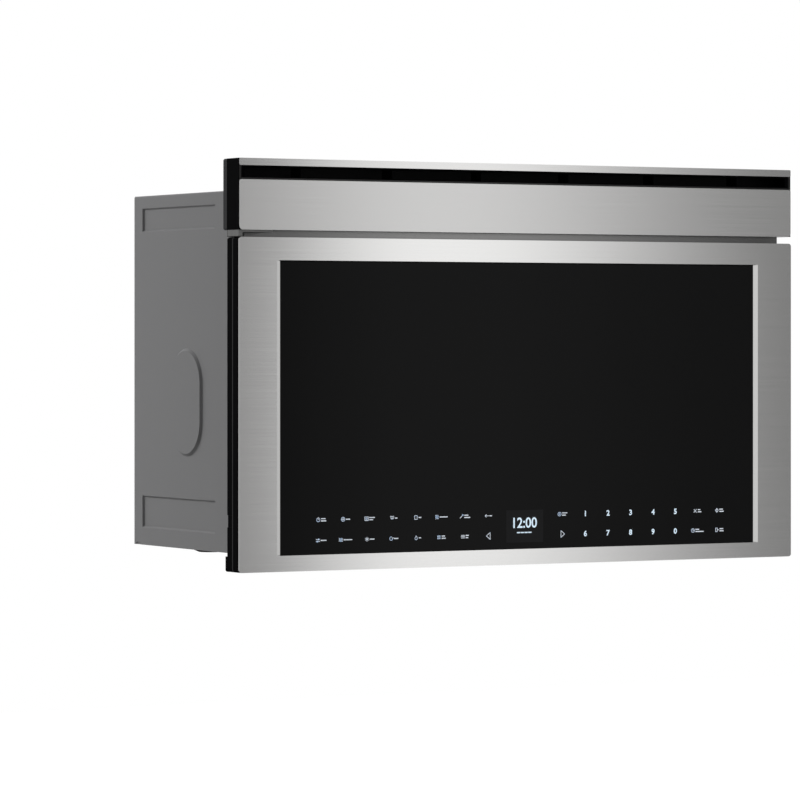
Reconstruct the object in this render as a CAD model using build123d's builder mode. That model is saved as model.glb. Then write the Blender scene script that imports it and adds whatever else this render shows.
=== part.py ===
"""Built-in microwave oven with a vent hood, hung under a wall cabinet. Millimetres.

Frame: +X right as seen from the front, +Y to the wall, +Z up.
Y = 0 is the wall plane, X = 0 the middle of the oven, Z = 0 the door's bottom edge.
"""
from build123d import *
import math
import os

os.makedirs("parts", exist_ok=True)

# Overall sizes of the front and of the case behind it
front_width = 758.825
front_height = 473.075
overall_depth = 323.85
case_inset = 23.8125
case_drop = 34.925
case_lift = 19.05

# Front faces, from the top down
top_bar_height = 8.2
vent_slot_height = 16.2
hood_panel_height = 57.4
door_gap = 8.3

# Depths measured back from the front face
hood_cap_depth = 30.8
hood_frame_depth = 39.6
door_frame_depth = 15.4
choke_plate = 1.8
door_thickness = 29.6
door_clearance = 1.6
skirt_depth = 34.1

# Sheets, walls and clearances
sheet = 0.8
steel_skin = 1.2
bracket_plate = 2.8
cap_wall = 3.5
mould_wall = 2.5
fit_gap = 0.3
running_gap = 0.05
round_sides = 24
rod_sides = 8
bore_sides = 12
recess_sides = 16

# Door glass and the bevelled window of the steel door trim
side_border = 48.7
top_border = 26.2
bottom_border = 18.4
side_bevel = 5.3
end_bevel = 0.8
bevel_depth = 2.6
bevel_rim = 1.2
glass_thickness = 4.0
glass_margin = 6.0
glass_corner = 2.0
trim_corner = 3.5
panel_low_corner = 4.5
panel_top_corner = 2.0
bar_corner = 1.5

# Room left round the oven cavity, and the recesses pressed into it
left_space = 35.6
supply_space = 115.6
rear_space = 61.85
cavity_floor_z = 100.0
ceiling_drop = 53.975
cavity_corner = 6.0
fan_margin = 28.5
fan_recess_depth = 22.0
stirrer_recess_radius = 74.0
stirrer_recess_depth = 18.0
stirrer_shift = 35.0

# Hinge
hinge_offset_x = 11.5
hinge_offset_y = 23.4
pin_radius = 3.0
knuckle_radius = 5.2
knuckle_height = 12.0
knuckle_z = 58.0

# Latch, release and interlock
latch_inset = 61.4
low_latch_rise = 32.0
high_latch_drop = 37.0
latch_travel = 4.0
latch_plate = 3.0

# Underside
filter_width = 190.0
filter_depth = 120.0
filter_x = 130.0
filter_back = 56.0
filter_thickness = 8.0
lens_width = 64.0
lens_depth = 34.0
lens_to_supply = 92.8
lens_set_back = 32.0

# Wall plate, cabinet bolts and duct outlet
wall_plate = 1.6
wall_plate_inset = 10.6
wall_plate_height = 215.0
wall_plate_low = 30.0
lag_spacing_x = 406.4
lag_spacing_z = 152.4
lag_radius = 3.6
bolt_spacing = 444.5
bolt_radius = 3.4
bolt_back = 247.0
duct_width = 254.0
duct_depth = 82.55
duct_back = 62.0
duct_collar = 30.0
collar_wall = 1.0

# Places worked out from the sizes above
half_front = front_width / 2
half_case = half_front - case_inset
front_y = -overall_depth
case_top = front_height - case_drop
slot_top = front_height - top_bar_height
panel_top = slot_top - vent_slot_height
hood_bottom = panel_top - hood_panel_height
door_top = hood_bottom - door_gap
window_height = door_top - top_border - bottom_border
window_z = bottom_border + window_height / 2
window_width = front_width - 2 * side_border
glass_width = window_width - 2 * side_bevel + 2 * glass_margin
glass_height = window_height - 2 * end_bevel + 2 * glass_margin
frame_y = front_y + door_thickness + door_clearance
base_front_y = front_y + hood_frame_depth
base_back_y = -wall_plate - sheet
base_half = half_case - sheet
base_top = case_lift + sheet
rear_top = case_top - sheet
cavity_right = half_case - supply_space
cavity_left = -half_case + left_space
cavity_width = cavity_right - cavity_left
cavity_x = (cavity_left + cavity_right) / 2
cavity_ceiling = door_top - ceiling_drop
cavity_height = cavity_ceiling - cavity_floor_z
cavity_z = cavity_floor_z + cavity_height / 2
cavity_front = frame_y + sheet
cavity_back = -rear_space
cavity_depth = cavity_back - cavity_front
cavity_y = (cavity_front + cavity_back) / 2
fan_recess_radius = cavity_height / 2 - fan_margin
stirrer_x = cavity_x - stirrer_shift
supply_x = (cavity_right + half_case) / 2
lens_x = supply_x - lens_to_supply
pin_x = -half_front + hinge_offset_x
pin_y = front_y + hinge_offset_y
latch_x = half_front - latch_inset
latch_zs = (cavity_floor_z + low_latch_rise, cavity_ceiling - high_latch_drop)
filter_y = -filter_back - filter_depth / 2
lens_y = base_front_y + lens_set_back
duct_y = -duct_back
bolt_y = -bolt_back


def at_depth(depth):
    """Plane parallel to the front, this far behind it, drawn as seen from the front."""
    return Plane(origin=(0, front_y + depth, 0), x_dir=(1, 0, 0), z_dir=(0, -1, 0))


def facing(y):
    """Plane parallel to the front at this Y, drawn as seen from the front."""
    return Plane(origin=(0, y, 0), x_dir=(1, 0, 0), z_dir=(0, -1, 0))


def from_side(x):
    """Plane across the oven at this X, drawn with Y across and Z up."""
    return Plane(origin=(x, 0, 0), x_dir=(0, 1, 0), z_dir=(1, 0, 0))


def panel_outline(width, height, low_radius, high_radius):
    """Front outline of a panel with its own lower and upper corner radii."""
    with BuildSketch() as outline:
        Rectangle(width, height)
        fillet(outline.vertices().sort_by(Axis.Y)[:2], low_radius)
        fillet(outline.vertices().sort_by(Axis.Y)[-2:], high_radius)
    return outline.sketch


# Case: wrapper, base, rear panel and the plate that hangs it on the wall
oval_rise = 2.6
oval_slope = 3.0
oval_width = 82.6
oval_height = 127.3
oval_set_back = 181.5
oval_z = 191.7
recess_depth = 2.0
recess_slope = 1.9
recess_back = 22.2
recess_length = 194.0
upper_recess_drop = 43.2
upper_recess_height = 28.2
lower_recess_rise = 20.9
lower_recess_height = 38.3
wrapper_bend = 2.0
notch_length = 11.0
notch_height = 6.0
gland_radius = 8.7
gland_back = 40.0
oval_y = front_y + oval_set_back
recess_y = -recess_back - recess_length / 2
recesses = (
    (case_top - upper_recess_drop + upper_recess_height / 2, upper_recess_height),
    (case_lift + lower_recess_rise + lower_recess_height / 2, lower_recess_height),
)

with BuildPart() as outer_wrapper:
    with BuildSketch(Plane.XZ) as section:
        with Locations((0, (case_top + case_lift) / 2)):
            Rectangle(2 * half_case, case_top - case_lift)
        fillet(section.vertices().sort_by(Axis.Y)[-2:], wrapper_bend)
        with Locations((0, (case_top - sheet + case_lift) / 2 - sheet)):
            Rectangle(2 * base_half, case_top - case_lift + sheet, mode=Mode.SUBTRACT)
    extrude(amount=-base_front_y)
    for side in (-1, 1):
        inner_face = side * base_half
        outer_face = side * half_case
        with BuildSketch(from_side(inner_face)):
            for z, tall in recesses:
                with Locations((recess_y, z)):
                    Rectangle(recess_length + 2 * sheet, tall + 2 * sheet)
        extrude(amount=-side * recess_depth)
        for z, tall in recesses:
            with BuildSketch(from_side(outer_face)):
                with Locations((recess_y, z)):
                    Rectangle(recess_length, tall)
            with BuildSketch(from_side(outer_face - side * recess_depth)):
                with Locations((recess_y, z)):
                    Rectangle(recess_length - 2 * recess_slope, tall - 2 * recess_slope)
            loft(mode=Mode.SUBTRACT)
        with BuildSketch(from_side(outer_face)):
            with Locations((oval_y, oval_z)):
                SlotOverall(oval_height, oval_width, rotation=90)
        with BuildSketch(from_side(outer_face + side * oval_rise)):
            with Locations((oval_y, oval_z)):
                SlotOverall(oval_height - 2 * oval_slope, oval_width - 2 * oval_slope, rotation=90)
        loft()
        with Locations((outer_face, -notch_length, case_lift)):
            Box(4 * sheet, notch_length, notch_height, mode=Mode.SUBTRACT)
    with BuildSketch(Plane.XY.offset(case_top)):
        with Locations((0, duct_y)):
            Rectangle(duct_width + 2 * fit_gap, duct_depth + 2 * fit_gap)
        with Locations((0, bolt_y)):
            with GridLocations(bolt_spacing, 0, 2, 1):
                Circle(bolt_radius)
        with Locations((supply_x, -gland_back)):
            Circle(gland_radius + fit_gap)
    extrude(amount=-2 * sheet, mode=Mode.SUBTRACT)

base_flange = 14.0
hinge_lip = 1.5
air_slot_length = 34.0
air_slot_width = 5.0
air_slot_pitch = 13.0
air_slot_count = 6
air_slot_back = 34.0
with BuildPart() as base_plate:
    base_length = base_back_y - base_front_y
    base_mid_y = (base_back_y + base_front_y) / 2
    with BuildSketch(Plane.XY.offset(case_lift)):
        with Locations((0, base_mid_y)):
            Rectangle(2 * base_half, base_length)
    extrude(amount=base_flange)
    with BuildSketch(Plane.XY.offset(base_top)):
        with Locations((0, base_mid_y)):
            Rectangle(2 * (base_half - sheet), base_length - 2 * sheet)
    extrude(amount=base_flange, mode=Mode.SUBTRACT)
    with BuildSketch(Plane.XY.offset(case_lift)):
        with Locations((-filter_x, filter_y), (filter_x, filter_y)):
            Rectangle(filter_width, filter_depth)
        with Locations((-lens_x, lens_y), (lens_x, lens_y)):
            Rectangle(lens_width, lens_depth)
        with Locations((supply_x, -air_slot_back)):
            with GridLocations(air_slot_pitch, 0, air_slot_count, 1):
                Rectangle(air_slot_width, air_slot_length)
    extrude(amount=sheet, mode=Mode.SUBTRACT)

# Pressed bumps under the case's left and right edges: place, radius, drop
dome_inset = 30.0
dome_flat = 0.6
big_dome = (179.25, 23.0, 3.8)
small_domes = ((251.85, 7.5, 2.0), (275.35, 4.0, 1.3))
domes = [(side, big_dome) for side in (-1, 1)] + [(-1, dome) for dome in small_domes]
with BuildPart() as base_plugs:
    for side, (set_back, radius, drop) in domes:
        for level, size in ((case_lift, radius), (case_lift - drop, dome_flat * radius)):
            with BuildSketch(Plane.XY.offset(level)):
                with Locations((side * (half_case - dome_inset), front_y + set_back)):
                    RegularPolygon(size, round_sides if radius > 10 else rod_sides)
        loft()

wall_hook_x = 250.0
wall_hook_z = 41.0
wall_hook_width = 30.0
wall_hook_height = 18.0
wall_hook_reach = 7.0
hook_seat = 2.0
with BuildPart() as rear_panel:
    with BuildSketch(facing(-wall_plate)):
        with Locations((0, (rear_top + case_lift) / 2)):
            Rectangle(2 * base_half, rear_top - case_lift)
        with Locations((0, wall_hook_z + hook_seat + wall_plate)):
            with GridLocations(2 * wall_hook_x, 0, 2, 1):
                Rectangle(wall_hook_width + 6, 10, mode=Mode.SUBTRACT)
    extrude(amount=sheet)

wall_slot_inset = 45.0
wall_slot_width = 22.0
wall_slot_height = 60.0
plate_corner = 8.0
wall_plate_width = 2 * (half_case - wall_plate_inset)
with BuildPart() as wall_mounting_plate:
    with BuildSketch(facing(0)) as plate_face:
        with Locations((0, wall_plate_low + wall_plate_height / 2)):
            Rectangle(wall_plate_width, wall_plate_height)
            chamfer(plate_face.vertices(), plate_corner)
            with GridLocations(lag_spacing_x, lag_spacing_z, 2, 2):
                Circle(lag_radius, mode=Mode.SUBTRACT)
            with GridLocations(wall_plate_width - 2 * wall_slot_inset, 0, 2, 1):
                Rectangle(wall_slot_width, wall_slot_height, mode=Mode.SUBTRACT)
    extrude(amount=wall_plate)
    for side in (-1, 1):
        with BuildSketch(from_side(side * wall_hook_x - wall_hook_width / 2)):
            with BuildLine():
                Polyline(
                    (-wall_plate, wall_hook_z),
                    (-wall_plate - wall_hook_reach, wall_hook_z),
                    (-wall_plate - wall_hook_reach, wall_hook_z + wall_hook_height),
                    (-wall_hook_reach, wall_hook_z + wall_hook_height),
                    (-wall_hook_reach, wall_hook_z + hook_seat),
                    (-wall_plate, wall_hook_z + hook_seat),
                    close=True,
                )
            make_face()
        extrude(amount=wall_hook_width)

# Front plate of the case, with the oven's opening and the latch slots
latch_slot_width = 9.0
latch_slot_height = 15.0
latch_slot_low = 0.5
with BuildPart() as front_frame:
    frame_height = hood_bottom - case_lift
    frame_z = (hood_bottom + case_lift) / 2
    with BuildSketch(facing(frame_y)) as frame_face:
        with Locations((0, frame_z)):
            Rectangle(2 * half_case, frame_height)
        fillet(frame_face.vertices().sort_by(Axis.Y)[:2], wrapper_bend)
    extrude(amount=-(base_front_y - frame_y))
    with BuildSketch(facing(frame_y + sheet)):
        with Locations((0, frame_z)):
            Rectangle(2 * base_half, frame_height - 2 * sheet)
    extrude(amount=-(base_front_y - frame_y), mode=Mode.SUBTRACT)
    with BuildSketch(facing(frame_y)):
        with Locations((cavity_x, cavity_z)):
            Rectangle(cavity_width, cavity_height)
        for z in latch_zs:
            with Locations((latch_x, z - latch_slot_low + latch_slot_height / 2)):
                Rectangle(latch_slot_width, latch_slot_height)
    extrude(amount=-sheet, mode=Mode.SUBTRACT)

# Thin rail seen in the gap between the hood and the door
rail_pad = 30.0
with BuildPart() as front_rail:
    rail_low = door_top + fit_gap
    rail_width = front_width - 2 * fit_gap
    with BuildSketch(facing(frame_y - fit_gap - sheet)):
        with Locations((0, (rail_low + hood_bottom) / 2)):
            Rectangle(rail_width, hood_bottom - rail_low)
    extrude(amount=-sheet)
    with BuildSketch(Plane.XY.offset(rail_low)):
        with Locations((0, frame_y - fit_gap / 2)):
            with GridLocations(rail_width / 3, 0, 3, 1):
                Rectangle(rail_pad, fit_gap)
    extrude(amount=hood_bottom - rail_low)

# Oven cavity with the convection recess behind, the stirrer recess above and the rack's pegs
rack_rise = 96.0
rack_wire = 2.0
rack_side_gap = 18.0
rack_front_gap = 19.0
rack_back_gap = 15.0
rack_pitch = 60.0
peg_radius = 3.5
peg_spacing = 120.0
peg_overlap = 6.0
probe_set_back = 34.0
probe_drop = 43.0
probe_neck = 5.0
lamp_set_in = 28.0
lamp_drop = 45.0
lamp_hole = 11.0
shaft_hole = 6.0
feed_width = 70.0
feed_depth = 60.0
rack_z = cavity_floor_z + rack_rise
rack_width = cavity_width - 2 * rack_side_gap
rack_front = cavity_front + rack_front_gap
rack_back = cavity_back - rack_back_gap
rack_y = (rack_front + rack_back) / 2
probe_y = cavity_front + probe_set_back
probe_z = cavity_ceiling - probe_drop
lamp_y = cavity_back - lamp_set_in
lamp_z = cavity_ceiling - lamp_drop
with BuildPart() as oven_cavity:
    outer_width = cavity_width + 2 * sheet
    outer_height = cavity_height + 2 * sheet
    with BuildSketch(facing(cavity_front)) as cavity_face:
        with Locations((cavity_x, cavity_z)):
            Rectangle(outer_width, outer_height)
        chamfer(cavity_face.vertices(), cavity_corner / 2)
    extrude(amount=-(cavity_depth + sheet))
    with BuildSketch(facing(cavity_back)):
        with Locations((cavity_x, cavity_z)):
            RegularPolygon(fan_recess_radius + sheet, recess_sides)
    extrude(amount=-(fan_recess_depth + sheet))
    with BuildSketch(Plane.XY.offset(cavity_ceiling)):
        with Locations((stirrer_x, cavity_y)):
            RegularPolygon(stirrer_recess_radius + sheet, recess_sides)
    extrude(amount=stirrer_recess_depth + sheet)
    with BuildSketch(facing(cavity_front)):
        with Locations((cavity_x, cavity_z)):
            RectangleRounded(cavity_width, cavity_height, cavity_corner)
    extrude(amount=-cavity_depth, mode=Mode.SUBTRACT)
    with BuildSketch(facing(cavity_back)):
        with Locations((cavity_x, cavity_z)):
            RegularPolygon(fan_recess_radius, recess_sides)
    extrude(amount=-fan_recess_depth, mode=Mode.SUBTRACT)
    with BuildSketch(facing(cavity_back)):
        with Locations((cavity_x, cavity_z)):
            RegularPolygon(shaft_hole, rod_sides, major_radius=False)
    extrude(amount=-2 * fan_recess_depth, mode=Mode.SUBTRACT)
    with BuildSketch(Plane.XY.offset(cavity_ceiling - sheet)):
        with Locations((stirrer_x, cavity_y)):
            RegularPolygon(stirrer_recess_radius, recess_sides)
    extrude(amount=stirrer_recess_depth + sheet, mode=Mode.SUBTRACT)
    with BuildSketch(Plane.XY.offset(cavity_ceiling)):
        with Locations((stirrer_x, cavity_y)):
            Rectangle(feed_width, feed_depth)
    extrude(amount=2 * stirrer_recess_depth, mode=Mode.SUBTRACT)
    with BuildSketch(from_side(cavity_right)):
        with Locations((probe_y, probe_z)):
            RegularPolygon(probe_neck + fit_gap, rod_sides, major_radius=False)
        with Locations((lamp_y, lamp_z)):
            RegularPolygon(lamp_hole, rod_sides)
    extrude(amount=sheet, mode=Mode.SUBTRACT)
    for side in (-1, 1):
        with BuildSketch(from_side(cavity_x + side * cavity_width / 2)):
            with Locations((rack_y, rack_z - rack_wire - fit_gap - peg_radius)):
                with GridLocations(peg_spacing, 0, 2, 1):
                    RegularPolygon(peg_radius, rod_sides, major_radius=False, rotation=22.5)
        extrude(amount=-side * (rack_side_gap + peg_overlap))

floor_thickness = 4.0
floor_gap = 3.0
with BuildPart() as cavity_floor:
    with BuildSketch(Plane.XY.offset(cavity_floor_z)):
        with Locations((cavity_x, cavity_y)):
            Rectangle(cavity_width - 2 * cavity_corner, cavity_depth - 2 * floor_gap)
    extrude(amount=floor_thickness)

# Convection unit in the recess behind the oven
cover_thickness = 1.2
cover_rim = 9.0
cover_slot = 4.5
inner_slot_length = 20.0
outer_slot_length = 22.0
fan_front_gap = 5.0
fan_tip_gap = 26.0
fan_hub = 17.0
fan_blade = 13.0
fan_y = cavity_back + fan_front_gap
fan_radius = fan_recess_radius - fan_tip_gap
with BuildPart() as fan_cover:
    with BuildSketch(facing(cavity_back - cover_thickness)):
        with Locations((cavity_x, cavity_z)):
            RegularPolygon(fan_recess_radius + cover_rim, round_sides)
            with PolarLocations(fan_recess_radius / 2 - inner_slot_length / 2, 6):
                Rectangle(inner_slot_length, cover_slot, mode=Mode.SUBTRACT)
            with PolarLocations(fan_recess_radius - outer_slot_length, 12):
                Rectangle(outer_slot_length, cover_slot, mode=Mode.SUBTRACT)
    extrude(amount=-cover_thickness)

hub_rim = 3.0
blade_sheet = 1.4
blade_gap = 4.0
blade_twist = 18.0
fan_shaft = 30.0
with BuildPart() as convection_fan:
    with BuildSketch(facing(fan_y)):
        with Locations((cavity_x, cavity_z)):
            RegularPolygon(fan_hub + hub_rim, rod_sides)
    extrude(amount=-cover_thickness)
    with BuildSketch(facing(fan_y)):
        with Locations((cavity_x, cavity_z)):
            with PolarLocations((fan_radius + fan_hub) / 2, 6):
                Rectangle(fan_radius - fan_hub - blade_gap, blade_sheet, rotation=blade_twist)
    extrude(amount=-fan_blade)
    with BuildSketch(facing(fan_y + fan_blade - cover_thickness)):
        with Locations((cavity_x, cavity_z)):
            RegularPolygon(fan_radius, recess_sides)
    extrude(amount=-cover_thickness)
    with BuildSketch(facing(fan_y)):
        with Locations((cavity_x, cavity_z)):
            Circle(pin_radius)
    extrude(amount=-fan_shaft)

motor_face = cavity_back + fan_recess_depth + sheet
motor_foot = 5.5
motor_length = 23.0
motor_radius = 30.0
foot_spacing = 52.0
foot_width = 12.0
foot_height = 16.0
motor_bore_depth = 22.0
foot_past_face = 2.0
with BuildPart() as convection_motor:
    with BuildSketch(facing(motor_face + motor_foot)):
        with Locations((cavity_x, cavity_z)):
            RegularPolygon(motor_radius, recess_sides)
    extrude(amount=-motor_length)
    with BuildSketch(facing(motor_face)):
        with Locations((cavity_x, cavity_z)):
            with GridLocations(foot_spacing, 0, 2, 1):
                Rectangle(foot_width, foot_height)
    extrude(amount=-(motor_foot + foot_past_face))
    with BuildSketch(facing(motor_face)):
        with Locations((cavity_x, cavity_z)):
            RegularPolygon(pin_radius + running_gap, bore_sides, major_radius=False)
    extrude(amount=-motor_bore_depth, mode=Mode.SUBTRACT)

heater_rod = 3.2
heater_wall_gap = 10.0
heater_steps = 18
heater_gap_angle = 40.0
heater_set_back = 9.0
with BuildPart() as convection_heater:
    heater_y = cavity_back + heater_set_back
    heater_radius = fan_recess_radius - heater_wall_gap
    heater_sweep = 360.0 - heater_gap_angle
    heater_angles = [
        math.radians(-90 + heater_gap_angle / 2 + heater_sweep * step / heater_steps)
        for step in range(heater_steps + 1)
    ]
    with BuildLine(facing(heater_y)) as ring:
        Polyline(
            *[
                (cavity_x + heater_radius * math.cos(a), cavity_z + heater_radius * math.sin(a))
                for a in heater_angles
            ]
        )
    with BuildSketch(Plane(origin=ring.line @ 0, z_dir=ring.line % 0)):
        RegularPolygon(heater_rod, rod_sides)
    sweep(transition=Transition.RIGHT)
    for end in (ring.line @ 0.004, ring.line @ 0.996):
        with BuildSketch(facing(heater_y)):
            with Locations((end.X, end.Z)):
                RegularPolygon(heater_rod - fit_gap, rod_sides)
        extrude(amount=-(cavity_back + fan_recess_depth - heater_y))

# Microwave feed: waveguide, magnetron, stirrer and its cover
guide_height = 36.0
guide_depth = 82.0
guide_past_stirrer = 50.0
guide_end_gap = 6.0
antenna_hole = 13.0
guide_low = cavity_ceiling + stirrer_recess_depth + sheet
guide_top = guide_low + guide_height
guide_left = stirrer_x - guide_past_stirrer
guide_right = base_half - guide_end_gap
with BuildPart() as waveguide:
    with BuildSketch(Plane.XY.offset(guide_low)):
        with Locations(((guide_left + guide_right) / 2, cavity_y)):
            Rectangle(guide_right - guide_left, guide_depth)
    extrude(amount=guide_height)
    with BuildSketch(Plane.XY.offset(guide_low + sheet)):
        with Locations(((guide_left + guide_right) / 2, cavity_y)):
            Rectangle(guide_right - guide_left - 2 * sheet, guide_depth - 2 * sheet)
    extrude(amount=guide_height - 2 * sheet, mode=Mode.SUBTRACT)
    with BuildSketch(Plane.XY.offset(guide_low)):
        with Locations((stirrer_x, cavity_y)):
            Rectangle(feed_width, feed_depth)
        with Locations((supply_x, cavity_y)):
            RegularPolygon(antenna_hole, rod_sides)
    extrude(amount=sheet, mode=Mode.SUBTRACT)
    with BuildSketch(Plane.XY.offset(guide_top - sheet)):
        with Locations((stirrer_x, cavity_y)):
            RegularPolygon(shaft_hole, rod_sides)
    extrude(amount=sheet, mode=Mode.SUBTRACT)

fin_count = 6
fin_pitch = 7.0
fin_width = 82.0
fin_depth = 60.0
yoke_width = 90.0
yoke_depth = 66.0
yoke_plate = 4.0
core_radius = 18.0
core_height = 62.0
filter_box = 46.0
filter_box_height = 20.0
yoke_ear = 5.0
fin_sheet = 1.0
antenna_gap = 5.0
antenna_length = 24.0
with BuildPart() as magnetron:
    with Locations((supply_x, cavity_y, guide_low - yoke_plate / 2)):
        Box(yoke_width, yoke_depth + 2 * yoke_ear, yoke_plate)
    with BuildSketch(Plane.XY.offset(guide_low)):
        with Locations((supply_x, cavity_y)):
            RegularPolygon(core_radius, rod_sides)
    extrude(amount=-core_height)
    for fin in range(fin_count):
        with Locations((supply_x, cavity_y, guide_low - 2 * yoke_plate - fin_pitch * (fin + 1))):
            Box(fin_width, fin_depth, fin_sheet)
    for side in (-1, 1):
        yoke_side = supply_x + side * (yoke_width - yoke_plate) / 2
        with Locations((yoke_side, cavity_y, guide_low - core_height / 2)):
            Box(yoke_plate, yoke_depth, core_height)
    with Locations((supply_x, cavity_y, guide_low - core_height - yoke_plate / 2)):
        Box(yoke_width, yoke_depth, yoke_plate)
    with Locations((supply_x, cavity_y, guide_low - core_height - yoke_plate - filter_box_height / 2)):
        Box(filter_box, filter_box, filter_box_height)
    with BuildSketch(Plane.XY.offset(guide_low)):
        with Locations((supply_x, cavity_y)):
            RegularPolygon(antenna_hole - antenna_gap, rod_sides)
    extrude(amount=antenna_length)

stirrer_clear = 5.0
stirrer_arm = 60.0
stirrer_hub = 14.0
stirrer_blade = 26.0
stirrer_overlap = 4.0
stirrer_sheet = 1.0
stirrer_lip = 28.0
stirrer_lip_height = 8.0
stirrer_shaft_end = 8.0
stirrer_z = cavity_ceiling + stirrer_clear
with BuildPart() as stirrer:
    with BuildSketch(Plane.XY.offset(stirrer_z)):
        with Locations((stirrer_x, cavity_y)):
            RegularPolygon(stirrer_hub, rod_sides)
            with PolarLocations(stirrer_arm / 2 + stirrer_overlap, 3):
                Rectangle(stirrer_arm - 2 * stirrer_overlap, stirrer_blade)
    extrude(amount=stirrer_sheet)
    lip_z = stirrer_z + stirrer_lip_height / 2
    for blade in range(3):
        with Locations(Location((stirrer_x, cavity_y, lip_z), (0, 0, 120 * blade))):
            with Locations((stirrer_arm - stirrer_lip / 2, (stirrer_blade - stirrer_sheet) / 2, 0)):
                Box(stirrer_lip, stirrer_sheet, stirrer_lip_height)
    with BuildSketch(Plane.XY.offset(stirrer_z)):
        with Locations((stirrer_x, cavity_y)):
            Circle(pin_radius)
    extrude(amount=guide_top + stirrer_shaft_end - stirrer_z)

stirrer_motor_radius = 24.0
stirrer_ear = 60.0
ear_width = 12.0
ear_sheet = 1.6
stirrer_motor_height = 16.0
with BuildPart() as stirrer_motor:
    with BuildSketch(Plane.XY.offset(guide_top)):
        with Locations((stirrer_x, cavity_y)):
            Rectangle(stirrer_ear + ear_width, ear_width)
    extrude(amount=ear_sheet)
    with BuildSketch(Plane.XY.offset(guide_top)):
        with Locations((stirrer_x, cavity_y)):
            RegularPolygon(stirrer_motor_radius, 2 * rod_sides)
    extrude(amount=stirrer_motor_height)
    with BuildSketch(Plane.XY.offset(guide_top)):
        with Locations((stirrer_x, cavity_y)):
            RegularPolygon(pin_radius + running_gap, bore_sides, major_radius=False)
    extrude(amount=stirrer_shaft_end + fit_gap, mode=Mode.SUBTRACT)

with BuildPart() as stirrer_cover:
    with BuildSketch(Plane.XY.offset(cavity_ceiling)):
        with Locations((stirrer_x, cavity_y)):
            RegularPolygon(stirrer_recess_radius + cover_rim, round_sides)
    extrude(amount=-cover_thickness)

# Grill element under the oven's ceiling, one rod bent to and fro
element_drop = 12.0
element_shift = 120.0
element_leg = 20.0
element_bend = 8.0
element_front_gap = 40.0
element_flange = 14.0
clip_set_back = 30.0
clip_width = 9.0
clip_sheet = 3.0
element_z = cavity_ceiling - element_drop
element_x = cavity_x + element_shift
element_front = cavity_front + element_front_gap
element_back = cavity_back - element_front_gap
half_run = [
    (3 * element_leg, cavity_back - element_flange),
    (3 * element_leg, element_front + element_bend),
    (3 * element_leg - element_bend, element_front),
    (element_leg + element_bend, element_front),
    (element_leg, element_front + element_bend),
    (element_leg, element_back - element_bend),
    (element_leg - element_bend, element_back),
]
with BuildPart() as broil_element:
    with BuildLine(Plane.XY.offset(element_z)) as element_path:
        Polyline(
            *[(element_x + x, y) for x, y in half_run],
            *[(element_x - x, y) for x, y in reversed(half_run)],
        )
    with BuildSketch(Plane(origin=element_path.line @ 0, z_dir=element_path.line % 0)):
        RegularPolygon(heater_rod, rod_sides)
    sweep(transition=Transition.RIGHT)
    for side in (-1, 1):
        with BuildSketch(facing(cavity_back)):
            with Locations((element_x + side * 3 * element_leg, element_z)):
                RegularPolygon(heater_rod + 2, rod_sides)
        extrude(amount=element_flange)
        clip_x = element_x + side * 3 * element_leg
        with Locations((clip_x, element_front + clip_set_back, cavity_ceiling - element_drop / 2)):
            Box(clip_width, clip_sheet, element_drop)

# Oven rack, which lies on the four pegs of the cavity walls
rack_corner = 14.0
with BuildPart() as oven_rack:
    rack_left = cavity_x - rack_width / 2
    rack_right = cavity_x + rack_width / 2
    rim = [
        (cavity_x, rack_front),
        (rack_right - rack_corner, rack_front),
        (rack_right, rack_front + rack_corner),
        (rack_right, rack_back - rack_corner),
        (rack_right - rack_corner, rack_back),
        (rack_left + rack_corner, rack_back),
        (rack_left, rack_back - rack_corner),
        (rack_left, rack_front + rack_corner),
        (rack_left + rack_corner, rack_front),
    ]
    with BuildLine(Plane.XY.offset(rack_z)) as rack_edge:
        Polyline(*rim, close=True)
    with BuildSketch(Plane(origin=rack_edge.line @ 0, z_dir=rack_edge.line % 0)):
        RegularPolygon(rack_wire, rod_sides)
    sweep(transition=Transition.RIGHT)
    with BuildSketch(facing(rack_back)):
        with Locations((cavity_x, rack_z)):
            with GridLocations(rack_pitch, 0, int((rack_width - 2 * rack_corner) // rack_pitch) + 1, 1):
                RegularPolygon(rack_wire * 0.8, 6)
    extrude(amount=rack_back - rack_front)
    with BuildSketch(from_side(rack_left)):
        with Locations((rack_y, rack_z)):
            RegularPolygon(rack_wire * 0.8, 6)
    extrude(amount=rack_width)

# Cavity lamp and probe socket on the oven's right wall
lamp_plate = 34.0
lamp_bracket = 10.0
lamp_bulb = 14.0
probe_flange = 8.0
probe_nut = 8.0
wall_outside = cavity_right + sheet
with BuildPart() as cavity_lamp:
    with BuildSketch(from_side(wall_outside)):
        with Locations((lamp_y, lamp_z)):
            Rectangle(lamp_plate, lamp_plate)
    extrude(amount=lamp_bracket)
    with BuildSketch(from_side(wall_outside + lamp_bracket)):
        with Locations((lamp_y, lamp_z)):
            RegularPolygon(lamp_hole + 1, rod_sides)
    extrude(amount=lamp_bulb)

with BuildPart() as probe_jack:
    with BuildSketch(from_side(cavity_right)):
        with Locations((probe_y, probe_z)):
            RegularPolygon(probe_flange, 2 * rod_sides)
    extrude(amount=-3)
    with BuildSketch(from_side(cavity_right)):
        with Locations((probe_y, probe_z)):
            RegularPolygon(probe_neck, rod_sides)
    extrude(amount=sheet)
    with BuildSketch(from_side(wall_outside)):
        with Locations((probe_y, probe_z)):
            RegularPolygon(probe_flange + 1, 6)
    extrude(amount=probe_nut)
    with BuildSketch(from_side(cavity_right - 3)):
        with Locations((probe_y, probe_z)):
            RegularPolygon(3.2, rod_sides)
    extrude(amount=8, mode=Mode.SUBTRACT)

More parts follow.
